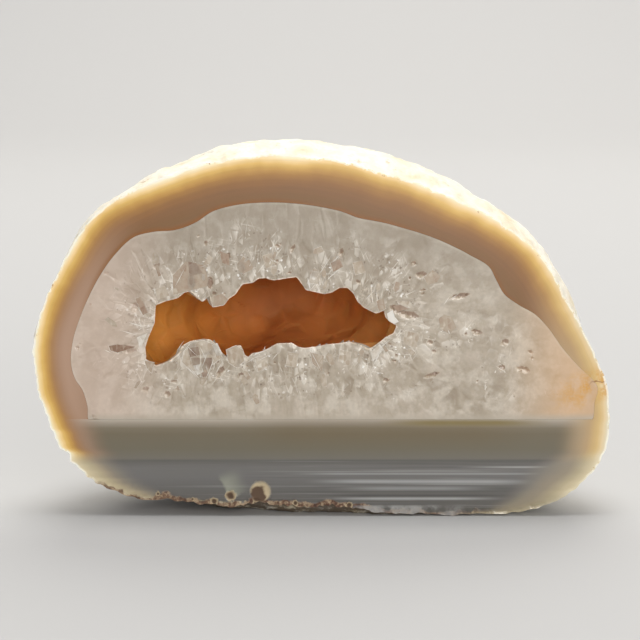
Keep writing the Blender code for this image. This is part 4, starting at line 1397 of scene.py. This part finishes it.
def makeFloor():
    profile = [(-stage["floorSize"] / 2, 0.0), (stage["wallDistance"], 0.0)]
    bend, steps = stage["wallBend"], stage["bendSteps"]
    for step in range(1, steps + 1):
        angle = step / steps * math.pi / 2
        profile.append((stage["wallDistance"] + bend * math.sin(angle), bend * (1.0 - math.cos(angle))))
    profile.append((stage["wallDistance"] + bend, stage["wallHeight"]))
    half = stage["floorSize"] / 2
    points = [(x, y, z) for y, z in profile for x in (-half, half)]
    faces = [(2 * i, 2 * i + 1, 2 * i + 3, 2 * i + 2) for i in range(len(profile) - 1)]
    mesh = bpy.data.meshes.new("floor")
    mesh.from_pydata((np.array(points) * mm).tolist(), [], faces)
    mesh.shade_smooth()
    look = Look("mattPaper", stage["patterns"])   # studio paper with a soft grain
    paper = {"Base Color": stage["floorColour"], "Roughness": 0.9}
    mesh.materials.append(look.finish(paper, bump=(look.pattern["grain"], 0.1, 0.1)))
    floor = bpy.data.objects.new("floor", mesh)
    bpy.context.scene.collection.objects.link(floor)


lights = (
    # name, place, target, size, watts, colour
    ("backSoftbox", (120, 900, 1000), (0, 0, 35), 1100, 9.5, "#fff8ec"),
    ("topSoftbox", (0, -60, 1300), (0, 0, 30), 800, 7.5, "#fffdf8"),
    ("frontSoftbox", (240, -1150, 260), (0, 0, 30), 700, 7.5, "#fffaf4"),
    ("backdropLight", (0, 200, 1300), (0, 1400, 400), 900, 4.0, "#ffffff"),
)


def makeLights():
    for name, place, target, size, watts, colour in lights:
        lamp = bpy.data.lights.new(name, "AREA")
        lamp.shape = "DISK"
        lamp.size = size * mm
        lamp.energy = watts
        lamp.color = linearColour(colour)[:3]
        holder = bpy.data.objects.new(name, lamp)
        holder.location = Vector(place) * mm
        holder.rotation_mode = "QUATERNION"
        holder.rotation_quaternion = (Vector(target) - Vector(place)).to_track_quat("-Z", "Y")
        bpy.context.scene.collection.objects.link(holder)
    world = bpy.data.worlds.new("studio")
    world.use_nodes = True
    background = world.node_tree.nodes["Background"]
    background.inputs["Color"].default_value = linearColour(stage["worldColour"])
    background.inputs["Strength"].default_value = stage["worldStrength"]
    bpy.context.scene.world = world
    bpy.context.scene.view_settings.view_transform = "Standard"


view = {
    "distance": 450.0,
    "elevation": 8.0,
    "aim": (-0.26, 34.7),     # (x, z) of the point on the sawn face at the middle of the picture
    "width": 110.9,           # what the picture takes in at the sawn face
    "sensor": 36.0,
}


def makeCamera():
    camera = bpy.data.cameras.new("camera")
    camera.sensor_width = view["sensor"]
    camera.lens = view["sensor"] * view["distance"] / view["width"]
    camera.clip_start = 0.01
    holder = bpy.data.objects.new("camera", camera)
    tilt = math.radians(view["elevation"])
    target = Vector((view["aim"][0], faceY, view["aim"][1]))
    back = Vector((0.0, -math.cos(tilt), math.sin(tilt)))
    holder.location = (target + back * view["distance"]) * mm
    holder.rotation_mode = "QUATERNION"
    holder.rotation_quaternion = (-back).to_track_quat("-Z", "Y")
    bpy.context.scene.collection.objects.link(holder)
    bpy.context.scene.camera = holder


def main():
    dice = np.random.default_rng(23)
    makeAgate(dice, [polishedAgate(), chalkyRind()])
    milky, stained, glassy = milkyQuartz(), stainedQuartz(), glassyQuartz()
    makeCrust(dice, [milky, stained])
    makeSections(dice, [glassy])
    makeDruse(dice, [glassy])
    makeClearPoints(dice, [clearQuartz(), glassy])
    makeFloor()
    makeLights()
    makeCamera()


main()
